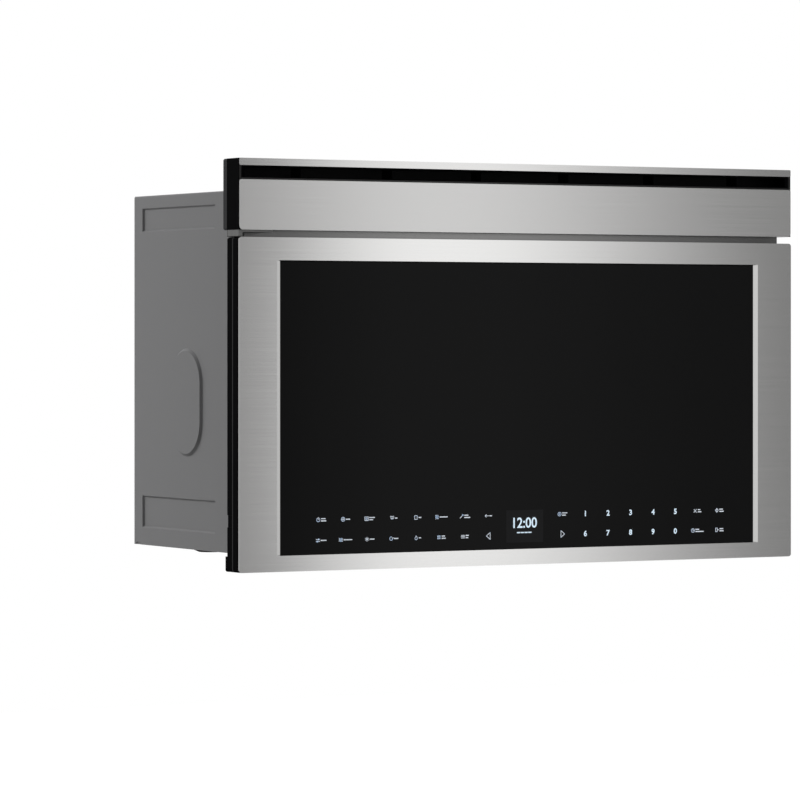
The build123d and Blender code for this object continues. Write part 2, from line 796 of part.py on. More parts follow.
# High-voltage supply and its cooling fan in the right-hand compartment
transformer_set_back = 76.0
core_width = 84.0
core_depth = 66.0
core_tall = 68.0
winding_width = 62.0
winding_depth = 96.0
winding_tall = 36.0
transformer_y = base_front_y + transformer_set_back
with BuildPart() as power_transformer:
    with Locations((supply_x, transformer_y, base_top + 3 + core_tall / 2)):
        Box(core_width, core_depth, core_tall)
        Box(winding_width, winding_depth, winding_tall)
    with Locations((supply_x, transformer_y, base_top + 1.5)):
        Box(core_width + 12, core_depth + 4, 3)

capacitor_back = 88.0
capacitor_length = 68.0
capacitor_wide = 58.0
capacitor_tall = 36.0
with BuildPart() as hv_capacitor:
    with BuildSketch(from_side(supply_x - capacitor_length / 2)) as can:
        with Locations((-capacitor_back, base_top + capacitor_tall / 2)):
            Rectangle(capacitor_wide, capacitor_tall)
        chamfer(can.vertices(), capacitor_tall / 4)
    extrude(amount=capacitor_length)
    with Locations((supply_x + capacitor_length / 2 + 4, -capacitor_back, base_top + capacitor_tall / 2)):
        with GridLocations(0, 20, 1, 2):
            Box(8, 6, 1)

cooling_rise = 76.0
cooling_back = 40.0
cooling_blades = 5
cooling_radius = 42.0
cooling_hub = 11.0
shroud_size = 106.0
shroud_hole = 46.0
shroud_depth = 28.0
cooling_motor_radius = 21.0
cooling_hub_depth = 14.0
cooling_sheet = 1.6
cooling_chord = 18.0
cooling_pitch_angle = 35.0
cooling_root = 3.0
cooling_shaft = 26.0
cooling_z = cavity_floor_z + cooling_rise
cooling_y = -cooling_back
with BuildPart() as cooling_fan:
    with BuildSketch(facing(cooling_y)):
        with Locations((supply_x, cooling_z)):
            RegularPolygon(cooling_hub, rod_sides)
    extrude(amount=-cooling_hub_depth)
    blade_length = cooling_radius - cooling_hub + cooling_root
    for blade in range(cooling_blades):
        turn = 360 / cooling_blades * blade
        root = Location((supply_x, cooling_y + cooling_hub_depth / 2, cooling_z), (0, turn, 0))
        blade_x = cooling_radius - blade_length / 2
        with Locations(root * Location((blade_x, 0, 0), (cooling_pitch_angle, 0, 0))):
            Box(blade_length, cooling_sheet, cooling_chord)
    with BuildSketch(facing(cooling_y)):
        with Locations((supply_x, cooling_z)):
            Circle(pin_radius)
    extrude(amount=-cooling_shaft)

with BuildPart() as cooling_motor:
    with BuildSketch(facing(cooling_y + 18)):
        with Locations((supply_x, cooling_z)):
            Rectangle(shroud_size - 2, 12)
            Rectangle(12, shroud_size - 2)
            RegularPolygon(cooling_motor_radius, 2 * rod_sides)
    extrude(amount=-2)
    with BuildSketch(facing(cooling_y + 18)):
        with Locations((supply_x, cooling_z)):
            RegularPolygon(cooling_motor_radius, 2 * rod_sides)
    extrude(amount=-16)
    with BuildSketch(facing(cooling_y - 8)):
        with Locations((supply_x, cooling_z)):
            Rectangle(shroud_size, shroud_size)
            RegularPolygon(shroud_hole, recess_sides, major_radius=False, mode=Mode.SUBTRACT)
    extrude(amount=-shroud_depth)
    back_gap = base_back_y - (cooling_y + 20)
    with Locations((supply_x, cooling_y + 20 + back_gap / 2, cooling_z)):
        Box(20, back_gap, 96)
    with BuildSketch(facing(cooling_y)):
        with Locations((supply_x, cooling_z)):
            RegularPolygon(pin_radius + running_gap, bore_sides, major_radius=False)
    extrude(amount=-26 - fit_gap, mode=Mode.SUBTRACT)

board_gap = 6.0
board_thickness = 1.6
board_set_back = 52.0
board_rise = 80.0
board_depth = 92.0
board_height = 130.0
board_parts = 16.0
inverter_back = 100.0
inverter_drop = 41.0
inverter_width = 80.0
inverter_depth = 56.0
board_x = base_half - board_gap
board_y = base_front_y + board_set_back
board_z = cavity_floor_z + board_rise
inverter_z = rear_top - inverter_drop
with BuildPart() as circuit_boards:
    with BuildSketch(from_side(board_x)):
        with Locations((board_y, board_z)):
            Rectangle(board_depth, board_height)
    extrude(amount=-board_thickness)
    with BuildSketch(from_side(board_x - board_thickness)):
        for y, z, wide, tall in ((-10, 40, 28, 24), (22, 35, 30, 30), (8, -30, 52, 18)):
            with Locations((board_y + y, board_z + z)):
                Rectangle(wide, tall)
    extrude(amount=-board_parts)
    with BuildSketch(from_side(board_x)):
        with Locations((board_y, board_z)):
            with GridLocations(board_depth - 12, board_height - 14, 2, 2):
                Rectangle(6, 6)
    extrude(amount=board_gap)
    with Locations((supply_x, -inverter_back, inverter_z)):
        Box(inverter_width, inverter_depth, board_thickness)
    with Locations((supply_x, -inverter_back, inverter_z + 8)):
        with GridLocations(34, 0, 2, 1):
            Box(20, 20, 16)
    with Locations((supply_x, -inverter_back, (inverter_z + rear_top) / 2)):
        with GridLocations(inverter_width - 10, inverter_depth - 10, 2, 2):
            Box(5, 5, rear_top - inverter_z)

cord_radius = 5.0
gland_nut = 13.0
gland_stand = 6.0
gland_reach = 8.0
with BuildPart() as cord_gland:
    with BuildSketch(Plane.XY.offset(case_top - gland_reach)):
        with Locations((supply_x, -gland_back)):
            RegularPolygon(gland_nut, 6)
            Circle(cord_radius, mode=Mode.SUBTRACT)
    extrude(amount=gland_reach - sheet)
    with BuildSketch(Plane.XY.offset(case_top - gland_reach)):
        with Locations((supply_x, -gland_back)):
            RegularPolygon(gland_radius, 2 * rod_sides)
            Circle(cord_radius, mode=Mode.SUBTRACT)
    extrude(amount=gland_reach + gland_stand)

# Vent blower: a double-ended motor with two drum wheels in one scroll
blower_drop = 51.35
scroll_wall = 1.2
drum_radius = 35.0
drum_length = 66.0
blade_count = 10
ring_width = 10.0
blade_chord = 8.0
drum_x = 78.0
inlet_radius = 29.0
blower_motor_radius = 28.0
blower_motor_length = 70.0
blower_z = rear_top - blower_drop
housing_top = rear_top - collar_wall
scroll_radius = duct_depth / 2
half_turn = 180 / round_sides
with BuildPart() as blower_housing:
    with BuildSketch(from_side(-duct_width / 2)):
        with Locations((duct_y, blower_z)):
            RegularPolygon(scroll_radius, round_sides, major_radius=False, rotation=half_turn)
        with Locations((duct_y, (blower_z + housing_top) / 2)):
            Rectangle(2 * scroll_radius, housing_top - blower_z)
    extrude(amount=duct_width)
    scroll_inside = scroll_radius - scroll_wall
    with BuildSketch(from_side(-duct_width / 2 + scroll_wall)):
        with Locations((duct_y, blower_z)):
            RegularPolygon(scroll_inside, round_sides, major_radius=False, rotation=half_turn)
        with Locations((duct_y, (blower_z + housing_top) / 2)):
            Rectangle(2 * scroll_inside, housing_top - blower_z)
    extrude(amount=duct_width - 2 * scroll_wall, mode=Mode.SUBTRACT)
    with BuildSketch(from_side(-duct_width / 2)):
        with Locations((duct_y, blower_z)):
            RegularPolygon(inlet_radius, 2 * rod_sides)
    extrude(amount=duct_width, mode=Mode.SUBTRACT)

blower_foot_width = 40.0
blower_foot_depth = 10.0
with BuildPart() as blower_motor:
    with BuildSketch(from_side(-blower_motor_length / 2)):
        with Locations((duct_y, blower_z)):
            RegularPolygon(blower_motor_radius, 2 * rod_sides)
    extrude(amount=blower_motor_length)
    foot_height = scroll_radius - scroll_wall
    with Locations((0, duct_y, blower_z - foot_height / 2)):
        Box(blower_foot_width, blower_foot_depth, foot_height)
    with BuildSketch(from_side(-blower_motor_length / 2)):
        with Locations((duct_y, blower_z)):
            RegularPolygon(pin_radius + running_gap, bore_sides, major_radius=False)
    extrude(amount=blower_motor_length, mode=Mode.SUBTRACT)

with BuildPart() as blower_wheels:
    with Locations((0, duct_y, blower_z)):
        Cylinder(pin_radius, 2 * drum_x + drum_length - 8, rotation=(0, 90, 0))
    for side in (-1, 1):
        inner_end = side * (drum_x - drum_length / 2)
        with BuildSketch(from_side(inner_end)):
            with Locations((duct_y, blower_z)):
                RegularPolygon(drum_radius, blade_count)
        extrude(amount=side * 1.5)
        with BuildSketch(from_side(inner_end)):
            with Locations((duct_y, blower_z)):
                with PolarLocations(drum_radius - 5.5, blade_count):
                    Rectangle(blade_chord, 1.0, rotation=30)
        extrude(amount=side * drum_length)
        with BuildSketch(from_side(inner_end + side * (drum_length - 2))):
            with Locations((duct_y, blower_z)):
                RegularPolygon(drum_radius, blade_count)
                RegularPolygon(drum_radius - ring_width, blade_count, mode=Mode.SUBTRACT)
        extrude(amount=side * 2)

# Duct outlet on the roof with its back-draught flap
flange_side = 15.0
flange_end = 12.0
flap_thickness = 1.2
flap_rise = 5.0
flap_inset = 4.5
flap_pin = 1.5
flap_knuckle = 3.0
flap_side_gap = 7.0
flap_knuckle_length = 9.0
flap_z = case_top + flap_rise
flap_axis_y = duct_y + duct_depth / 2 - flap_inset
with BuildPart() as exhaust_adapter:
    collar_height = case_top + duct_collar - housing_top
    with BuildSketch(Plane.XY.offset(housing_top)):
        with Locations((0, duct_y)):
            Rectangle(duct_width + 2 * flange_side, duct_depth + 2 * flange_end)
    extrude(amount=collar_wall)
    with BuildSketch(Plane.XY.offset(housing_top)):
        with Locations((0, duct_y)):
            Rectangle(duct_width, duct_depth)
    extrude(amount=collar_height)
    with BuildSketch(Plane.XY.offset(housing_top)):
        with Locations((0, duct_y)):
            Rectangle(duct_width - 2 * collar_wall, duct_depth - 2 * collar_wall)
    extrude(amount=collar_height, mode=Mode.SUBTRACT)
    for side in (-1, 1):
        with BuildSketch(from_side(side * duct_width / 2)):
            with Locations((flap_axis_y, flap_z)):
                Circle(flap_pin)
        extrude(amount=-side * (collar_wall + flap_side_gap - 2))
    with BuildSketch(Plane.XY.offset(flap_z - flap_thickness - fit_gap)):
        with Locations((0, duct_y - duct_depth / 2 + 2.5)):
            Rectangle(duct_width - 2 * collar_wall, 5)
    extrude(amount=-1)

with BuildPart() as damper_flap:
    flap_length = duct_depth - 2 * collar_wall - 2 * flap_inset + 1.5
    flap_width = duct_width - 2 * collar_wall - 2 * flap_side_gap
    knuckle_end = flap_width / 2 + 4
    with BuildSketch(Plane.XY.offset(flap_z - flap_thickness / 2)):
        with Locations((0, flap_axis_y - flap_length / 2)):
            Rectangle(flap_width, flap_length)
    extrude(amount=flap_thickness)
    for side in (-1, 1):
        with BuildSketch(from_side(side * knuckle_end)):
            with Locations((flap_axis_y, flap_z)):
                RegularPolygon(flap_knuckle, rod_sides)
        extrude(amount=-side * flap_knuckle_length)
    for side in (-1, 1):
        with BuildSketch(from_side(side * knuckle_end)):
            with Locations((flap_axis_y, flap_z)):
                RegularPolygon(flap_pin + running_gap, bore_sides, major_radius=False)
        extrude(amount=-side * flap_knuckle_length, mode=Mode.SUBTRACT)

# Hood front: chassis, black end caps, steel panel, top bar and outlet grille
hood_corner = 1.6
panel_side_gap = 0.5
charcoal_side = 169.4
charcoal_height = 36.0
charcoal_thickness = 12.0
charcoal_stand = 2.0
port_inset = 12.0
bar_return = 10.0
hood_height = front_height - hood_bottom
hood_z = (front_height + hood_bottom) / 2
panel_width = front_width - 2 * panel_side_gap
caps_inside = front_width - 2 * cap_wall
steel_inside = caps_inside - 2 * fit_gap
charcoal_width = front_width - 2 * charcoal_side
with BuildPart() as hood_frame:
    frame_reach = hood_frame_depth - hood_cap_depth
    with BuildSketch(at_depth(hood_cap_depth)) as hood_face:
        with Locations((0, hood_z)):
            Rectangle(front_width, hood_height)
        chamfer(hood_face.vertices(), hood_corner)
    extrude(amount=-frame_reach)
    with BuildSketch(at_depth(hood_cap_depth)):
        with Locations((0, hood_z)):
            Rectangle(front_width - 2 * steel_skin, hood_height - 2 * steel_skin)
    extrude(amount=-(frame_reach - steel_skin), mode=Mode.SUBTRACT)
    with BuildSketch(at_depth(hood_frame_depth)):
        with Locations((0, (case_top + hood_bottom) / 2)):
            Rectangle(charcoal_width - 2 * port_inset, case_top - hood_bottom - 2 * port_inset)
    extrude(amount=steel_skin, mode=Mode.SUBTRACT)

with BuildPart() as hood_caps:
    for side in (-1, 1):
        with BuildSketch(from_side(side * half_front)):
            with Locations((front_y + (hood_cap_depth + steel_skin) / 2, hood_z)):
                Rectangle(hood_cap_depth - steel_skin, hood_height)
        extrude(amount=-side * cap_wall)

with BuildPart() as hood_panel:
    panel_z = hood_bottom + hood_panel_height / 2
    with BuildSketch(at_depth(0)):
        with Locations((0, panel_z)):
            add(panel_outline(panel_width, hood_panel_height, panel_low_corner, panel_top_corner))
    extrude(amount=-steel_skin)
    with BuildSketch(at_depth(steel_skin)):
        with Locations((0, panel_z)):
            Rectangle(steel_inside, hood_panel_height)
            Rectangle(steel_inside, hood_panel_height - 2 * steel_skin, mode=Mode.SUBTRACT)
    extrude(amount=-(hood_cap_depth - steel_skin))

with BuildPart() as top_bar:
    bar_z = front_height - top_bar_height / 2
    with BuildSketch(at_depth(0)):
        with Locations((0, bar_z)):
            add(panel_outline(panel_width, top_bar_height, bar_corner, bar_corner))
    extrude(amount=-steel_skin)
    with BuildSketch(at_depth(steel_skin)):
        with Locations((0, front_height - steel_skin / 2)):
            Rectangle(steel_inside, steel_skin)
    extrude(amount=-(hood_cap_depth - steel_skin))
    with BuildSketch(at_depth(steel_skin)):
        with Locations((0, slot_top + steel_skin / 2)):
            Rectangle(steel_inside, steel_skin)
    extrude(amount=-bar_return)

grille_set_back = 1.6
grille_face = 3.0
grille_rail = 3.2
grille_lip = 1.6
grille_end = 4.0
louvre_pitch = 120.0
louvre_angle = 28.0
louvre_depth = 14.0
louvre_wall = 1.4
with BuildPart() as vent_grille:
    slot_open = vent_slot_height - grille_rail - grille_lip
    with BuildSketch(at_depth(grille_set_back)):
        with Locations((0, panel_top + vent_slot_height / 2)):
            Rectangle(steel_inside, vent_slot_height - fit_gap)
        with Locations((0, panel_top + grille_rail + slot_open / 2)):
            Rectangle(steel_inside - 2 * grille_end, slot_open, mode=Mode.SUBTRACT)
    extrude(amount=-grille_face)
    louvre_count = int((steel_inside - 4 * grille_end) // louvre_pitch)
    with BuildSketch(Plane.XY.offset(panel_top + 1.0)):
        with Locations((0, front_y + grille_set_back + grille_face + louvre_depth / 2)):
            with GridLocations(louvre_pitch, 0, louvre_count, 1):
                Rectangle(louvre_wall, louvre_depth, rotation=louvre_angle)
    extrude(amount=vent_slot_height - 2.0)
    for z in (panel_top + 1.0, slot_top - 2.0):
        with BuildSketch(Plane.XY.offset(z)):
            with Locations((0, front_y + grille_set_back + (louvre_depth + grille_face) / 2)):
                Rectangle(steel_inside, louvre_depth + grille_face)
        extrude(amount=1.0)

with BuildPart() as charcoal_filter:
    charcoal_y = base_front_y + charcoal_stand + charcoal_thickness / 2
    charcoal_z = (rear_top + hood_bottom) / 2
    with Locations((0, charcoal_y, charcoal_z)):
        Box(charcoal_width, charcoal_thickness, charcoal_height)
    with Locations((0, base_front_y + charcoal_stand / 2, charcoal_z)):
        with GridLocations(charcoal_width - port_inset, 0, 2, 1):
            Box(10, charcoal_stand, charcoal_height)
    with Locations((0, charcoal_y, (charcoal_z + rear_top) / 2)):
        with GridLocations(charcoal_width - 4 * port_inset, 0, 2, 1):
            Box(12, 8, rear_top - charcoal_z)

# Door: steel trim, black glass, moulded frame, choke and inner cover
with BuildPart() as door_trim:
    with BuildSketch(at_depth(0)):
        with Locations((0, door_top / 2)):
            add(panel_outline(front_width, door_top, trim_corner, trim_corner))
    extrude(amount=-steel_skin)
    with BuildSketch(at_depth(0)):
        with Locations((0, window_z)):
            Rectangle(window_width + 2 * bevel_rim, window_height + 2 * bevel_rim)
    extrude(amount=-bevel_depth)
    with BuildSketch(at_depth(0)):
        with Locations((0, window_z)):
            Rectangle(window_width, window_height)
    with BuildSketch(at_depth(bevel_depth)):
        with Locations((0, window_z)):
            Rectangle(window_width - 2 * side_bevel, window_height - 2 * end_bevel)
    loft(mode=Mode.SUBTRACT)

with BuildPart() as door_glass:
    with BuildSketch(at_depth(bevel_depth)) as pane:
        with Locations((0, window_z)):
            Rectangle(glass_width, glass_height)
        chamfer(pane.vertices(), glass_corner)
    extrude(amount=-glass_thickness)

glass_seat = 5.0
glass_back = bevel_depth + glass_thickness
with BuildPart() as door_frame:
    pocket_width = glass_width + 2 * fit_gap
    pocket_height = glass_height + 2 * fit_gap
    with BuildSketch(at_depth(steel_skin)):
        with Locations((0, door_top / 2)):
            add(panel_outline(front_width, door_top, trim_corner, trim_corner))
        with Locations((0, window_z)):
            Rectangle(glass_width - 2 * glass_seat, glass_height - 2 * glass_seat, mode=Mode.SUBTRACT)
    extrude(amount=-(door_frame_depth - steel_skin))
    with BuildSketch(at_depth(steel_skin)):
        with Locations((0, window_z)):
            Rectangle(window_width + 2 * bevel_rim + fit_gap, window_height + 2 * bevel_rim + fit_gap)
    extrude(amount=-(bevel_depth - steel_skin), mode=Mode.SUBTRACT)
    with BuildSketch(at_depth(bevel_depth)):
        with Locations((0, window_z)):
            Rectangle(pocket_width, pocket_height)
    extrude(amount=-glass_thickness, mode=Mode.SUBTRACT)
    with BuildSketch(at_depth(door_frame_depth)):
        with Locations((0, door_top / 2)):
            Rectangle(front_width - 2 * mould_wall, door_top - 2 * mould_wall)
        with Locations((0, window_z)):
            Rectangle(pocket_width + 2 * mould_wall, pocket_height + 2 * mould_wall, mode=Mode.SUBTRACT)
    extrude(amount=door_frame_depth - bevel_depth - mould_wall, mode=Mode.SUBTRACT)

choke_reach = 34.0
choke_wall = 1.0
choke_lip = 10.0
choke_depth = 9.6
view_side = 30.0
view_end = 23.0
screen_thickness = 0.6
finger_pitch = 60.0
finger_gap = 8.0
choke_back = door_frame_depth + choke_plate
choke_width = cavity_width + 2 * choke_reach
choke_height = cavity_height + 2 * choke_reach
view_width = cavity_width - 2 * view_side
view_height = cavity_height - 2 * view_end
with BuildPart() as door_choke:
    with BuildSketch(at_depth(door_frame_depth)):
        with Locations((0, door_top / 2)):
            add(panel_outline(front_width, door_top, trim_corner, trim_corner))
        with Locations((cavity_x, cavity_z)):
            Rectangle(view_width, view_height, mode=Mode.SUBTRACT)
    extrude(amount=-choke_plate)
    with BuildSketch(at_depth(choke_back)):
        with Locations((cavity_x, cavity_z)):
            Rectangle(choke_width, choke_height)
            Rectangle(choke_width - 2 * choke_wall, choke_height - 2 * choke_wall, mode=Mode.SUBTRACT)
            Rectangle(view_width + 4 * choke_wall, view_height + 4 * choke_wall)
            Rectangle(view_width + 2 * choke_wall, view_height + 2 * choke_wall, mode=Mode.SUBTRACT)
    extrude(amount=-choke_depth)
    with BuildSketch(at_depth(choke_back + choke_depth - choke_wall)):
        with Locations((cavity_x, cavity_z)):
            Rectangle(choke_width, choke_height)
            Rectangle(choke_width - 2 * choke_lip, choke_height - 2 * choke_lip, mode=Mode.SUBTRACT)
            with GridLocations(finger_pitch, choke_height, int(cavity_width // finger_pitch), 2):
                Rectangle(finger_gap, 2 * choke_lip + 2, mode=Mode.SUBTRACT)
            with GridLocations(choke_width, finger_pitch, 2, int(cavity_height // finger_pitch)):
                Rectangle(2 * choke_lip + 2, finger_gap, mode=Mode.SUBTRACT)
    extrude(amount=-choke_wall)
    with BuildSketch(at_depth(door_frame_depth)):
        with Locations((cavity_x, cavity_z)):
            Rectangle(view_width + 2 * choke_wall, view_height + 2 * choke_wall)
    extrude(amount=-screen_thickness)

cover_skin = 2.2
cover_overlap = 4.0
bar_past_hook = 20.0
bar_width = 12.0
guide_inset = 34.0
guide_height = 16.0
hinge_boss = 20.5
boss_height = 46.0
pin_bore_depth = 20.0
skirt_clearance = 1.5
skirt_corner = 2.4
cover_slot_height = 13.4
bar_low = latch_zs[0] - bar_past_hook
bar_top = latch_zs[1] + bar_past_hook
with BuildPart() as door_cover:
    pocket_depth = door_thickness - choke_back
    with BuildSketch(at_depth(choke_back)):
        with Locations((0, door_top / 2)):
            add(panel_outline(front_width, door_top, trim_corner, trim_corner))
    extrude(amount=-pocket_depth)
    with BuildSketch(at_depth(choke_back)):
        with Locations((0, door_top / 2)):
            Rectangle(front_width - 2 * mould_wall, door_top - 2 * mould_wall)
    extrude(amount=-(pocket_depth - cover_skin), mode=Mode.SUBTRACT)
    with BuildSketch(at_depth(choke_back)):
        for z in (knuckle_z, door_top - boss_height / 2 - mould_wall):
            with Locations((-half_front + hinge_boss / 2 + mould_wall, z)):
                Rectangle(hinge_boss, boss_height)
        for z in (bar_low + guide_inset, bar_top - guide_inset):
            with Locations((latch_x, z)):
                Rectangle(2 * bar_width, guide_height)
                Rectangle(bar_width + 2 * fit_gap, guide_height, mode=Mode.SUBTRACT)
    extrude(amount=-(pocket_depth - cover_skin))
    with BuildSketch(at_depth(door_thickness)):
        with Locations((cavity_x, cavity_z)):
            Rectangle(view_width + 2 * cover_overlap, view_height + 2 * cover_overlap)
        for z in latch_zs:
            with Locations((latch_x, z - latch_slot_low + cover_slot_height / 2)):
                Rectangle(latch_slot_width, cover_slot_height)
    extrude(amount=cover_skin, mode=Mode.SUBTRACT)
    skirt_top = case_lift - skirt_clearance
    with BuildSketch(at_depth(door_thickness)) as skirt:
        with Locations((0, skirt_top / 2)):
            Rectangle(front_width, skirt_top)
        fillet(skirt.vertices().sort_by(Axis.Y)[:2], skirt_corner)
    extrude(amount=-(skirt_depth - door_thickness))
    with Locations((pin_x, pin_y, knuckle_z)):
        Cylinder(pin_radius + running_gap, boss_height - 6, mode=Mode.SUBTRACT)
    with Locations((-half_front + hinge_boss / 2, front_y + choke_back + pocket_depth / 2, knuckle_z)):
        Box(hinge_boss + 24, pocket_depth, knuckle_height + 2, mode=Mode.SUBTRACT)
    with BuildSketch(Plane.XY.offset(door_top)):
        with Locations((pin_x, pin_y)):
            Circle(pin_radius + running_gap)
    extrude(amount=-pin_bore_depth, mode=Mode.SUBTRACT)

inner_glass_thickness = 2.2
with BuildPart() as door_inner_glass:
    with BuildSketch(at_depth(door_thickness - 0.4)):
        with Locations((cavity_x, cavity_z)):
            overlap = cover_overlap - fit_gap
            Rectangle(view_width + 2 * overlap, view_height + 2 * overlap)
    extrude(amount=inner_glass_thickness)

# Touch electronics behind the lower part of the door glass
display_width = 50.7
display_height = 38.7
display_flange = 7.0
display_thickness = 5.4
controls_z = 45.0
touch_side = 31.4
touch_height = 46.0
chip_width = 40.0
chip_height = 16.0
chip_thickness = 3.0
with BuildPart() as touch_board:
    touch_width = glass_width - 2 * touch_side
    with BuildSketch(at_depth(glass_back)):
        with Locations((0, controls_z)):
            Rectangle(touch_width, touch_height)
            Rectangle(display_width + 4, display_height + 4, mode=Mode.SUBTRACT)
    extrude(amount=-board_thickness)
    with BuildSketch(at_depth(glass_back + board_thickness)):
        with Locations((0, controls_z)):
            with GridLocations(touch_width / 2 - chip_width, 0, 2, 1):
                Rectangle(chip_width, chip_height)
    extrude(amount=-chip_thickness)

with BuildPart() as display_module:
    with BuildSketch(at_depth(glass_back)):
        with Locations((0, controls_z)):
            Rectangle(display_width, display_height)
    extrude(amount=-display_thickness)
    with BuildSketch(at_depth(glass_back + board_thickness)):
        with Locations((0, controls_z)):
            Rectangle(display_width + 2 * display_flange, display_height + 3)
    extrude(amount=-chip_thickness)

# Hinges
hinge_plate_length = 44.0
hinge_side_gap = 0.5
hinge_plate_front = 2.2
hinge_boss_radius = 6.2
hinge_wall = 5.0
pin_reach = 16.0
strap = 1.2
strap_length = 38.0
with BuildPart() as upper_hinge:
    hinge_left = -half_front + hinge_side_gap
    hinge_plate_depth = door_thickness + fit_gap / 2 - hinge_plate_front
    hinge_plate_y = front_y + hinge_plate_front + hinge_plate_depth / 2
    with BuildSketch(Plane.XY.offset(hood_bottom)):
        with Locations((hinge_left + hinge_plate_length / 2, hinge_plate_y)):
            Rectangle(hinge_plate_length, hinge_plate_depth)
    extrude(amount=-bracket_plate)
    with BuildSketch(Plane.XY.offset(hood_bottom)):
        with Locations((pin_x, pin_y)):
            RegularPolygon(hinge_boss_radius, 2 * rod_sides)
        with Locations((hinge_left + hinge_wall / 2, hinge_plate_y)):
            Rectangle(hinge_wall, hinge_plate_depth)
    extrude(amount=-(door_gap - 1.0))
    with BuildSketch(Plane.XY.offset(hood_bottom)):
        with Locations((pin_x, pin_y)):
            Circle(pin_radius)
    extrude(amount=-(door_gap + pin_reach))

with BuildPart() as lower_hinge:
    with BuildSketch(Plane.XY.offset(knuckle_z - knuckle_height / 2)):
        with Locations((pin_x, pin_y)):
            RegularPolygon(knuckle_radius, 2 * rod_sides)
        with BuildLine():
            Polyline(
                (pin_x, pin_y + knuckle_radius),
                (pin_x + 4, pin_y + 0.5),
                (-half_case + 8, frame_y - strap),
                (-half_case + 8 + strap_length, frame_y - strap),
                (-half_case + 8 + strap_length, frame_y),
                (-half_case + 7, frame_y),
                close=True,
            )
        make_face()
        with Locations((pin_x, pin_y)):
            Circle(pin_radius + running_gap, mode=Mode.SUBTRACT)
    extrude(amount=knuckle_height)

with BuildPart() as lower_hinge_pin:
    with Locations((pin_x, pin_y, knuckle_z)):
        Cylinder(pin_radius, boss_height - 7)

# Latch in the door, and the strikes, switches and release behind the front plate
arm_height = 7.5
barb_drop = 4.2
barb_length = 7.0
hook_reach = 20.0
nose = 3.0
bar_depth = choke_back + 1.0
hook_end = front_y + door_thickness + hook_reach
barb_front = hook_end - barb_length
with BuildPart() as latch_hooks:
    with BuildSketch(at_depth(bar_depth)):
        with Locations((latch_x, (bar_low + bar_top) / 2)):
            Rectangle(bar_width, bar_top - bar_low)
    extrude(amount=-latch_plate)
    for z in latch_zs:
        barb_low = z + fit_gap
        arm_low = barb_low + barb_drop
        arm_top = arm_low + arm_height
        with BuildSketch(from_side(latch_x - latch_plate / 2)):
            with BuildLine():
                Polyline(
                    (front_y + bar_depth, arm_low),
                    (barb_front, arm_low),
                    (barb_front, barb_low),
                    (hook_end - nose, barb_low),
                    (hook_end, barb_low + nose),
                    (hook_end, arm_top - nose),
                    (hook_end - nose, arm_top),
                    (front_y + bar_depth, arm_top),
                    close=True,
                )
            make_face()
        extrude(amount=latch_plate)

strike_depth = 5.0
bracket_width = 44.0
bracket_wall = 3.0
bracket_reach = 34.0
bracket_past = 38.0
strike_slot_height = 16.0
strike_y = frame_y + sheet
with BuildPart() as interlock_bracket:
    bracket_low = latch_zs[0] - bracket_past
    bracket_top = latch_zs[1] + bracket_past
    bracket_z = (bracket_low + bracket_top) / 2
    with BuildSketch(facing(strike_y)):
        with Locations((latch_x, bracket_z)):
            Rectangle(bracket_width, bracket_top - bracket_low)
        for z in latch_zs:
            with Locations((latch_x, z + strike_slot_height / 2)):
                Rectangle(latch_slot_width, strike_slot_height, mode=Mode.SUBTRACT)
    extrude(amount=-strike_depth)
    with Locations((latch_x, strike_y + bracket_reach / 2, bracket_z)):
        with GridLocations(bracket_width - bracket_wall, 0, 2, 1):
            Box(bracket_wall, bracket_reach, bracket_top - bracket_low)

button_travel = 1.2
button_width = 2.4
button_depth = 4.0
button_height = 6.0
button_shown = 2.0
switch_side = 3.5
switch_width = 31.0
switch_depth = 14.0
switch_height = 16.0
button_top_drop = latch_travel - button_travel - fit_gap / 2
switch_top_drop = button_top_drop + button_shown
button_y = barb_front + barb_length / 2
with BuildPart() as door_switches:
    for z in latch_zs:
        switch_z = z - switch_top_drop - switch_height / 2
        with Locations((latch_x + switch_side, button_y + switch_side, switch_z)):
            Box(switch_width, switch_depth, switch_height)
        with Locations((latch_x, button_y, z - switch_top_drop - button_height / 2)):
            Box(button_width + 2 * fit_gap, button_depth + 2 * fit_gap, button_height, mode=Mode.SUBTRACT)

with BuildPart() as switch_buttons:
    for z in latch_zs:
        with Locations((latch_x, button_y, z - button_top_drop - button_height / 2)):
            Box(button_width, button_depth, button_height)

riser_gap = 1.1
riser_depth = 3.0
riser_width = 5.0
plunger_set_back = 19.0
plunger_radius = 4.0
plunger_length = 40.0
crossbar_drop = 32.0
crossbar_width = 10.0
crossbar_height = 2.0
release_width = 30.0
release_depth = 24.0
release_height = 40.0
release_drop = 9.0
riser_y = strike_y + strike_depth + riser_gap + riser_depth / 2
plunger_y = strike_y + plunger_set_back
crossbar_z = latch_zs[0] - crossbar_drop
riser_top = latch_zs[0] + barb_drop
release_z = crossbar_z - release_drop - release_height / 2
with BuildPart() as release_actuator:
    release_front = plunger_y - release_depth / 2
    with Locations((latch_x, plunger_y, release_z)):
        Box(release_width, release_depth, release_height)
    with Locations((latch_x, (strike_y + release_front) / 2, release_z)):
        Box(bracket_width - 2, release_front - strike_y, release_height / 2)
    with BuildSketch(Plane.XY.offset(release_z - release_height / 2)):
        with Locations((latch_x, plunger_y)):
            RegularPolygon(plunger_radius + fit_gap, bore_sides)
    extrude(amount=release_height, mode=Mode.SUBTRACT)

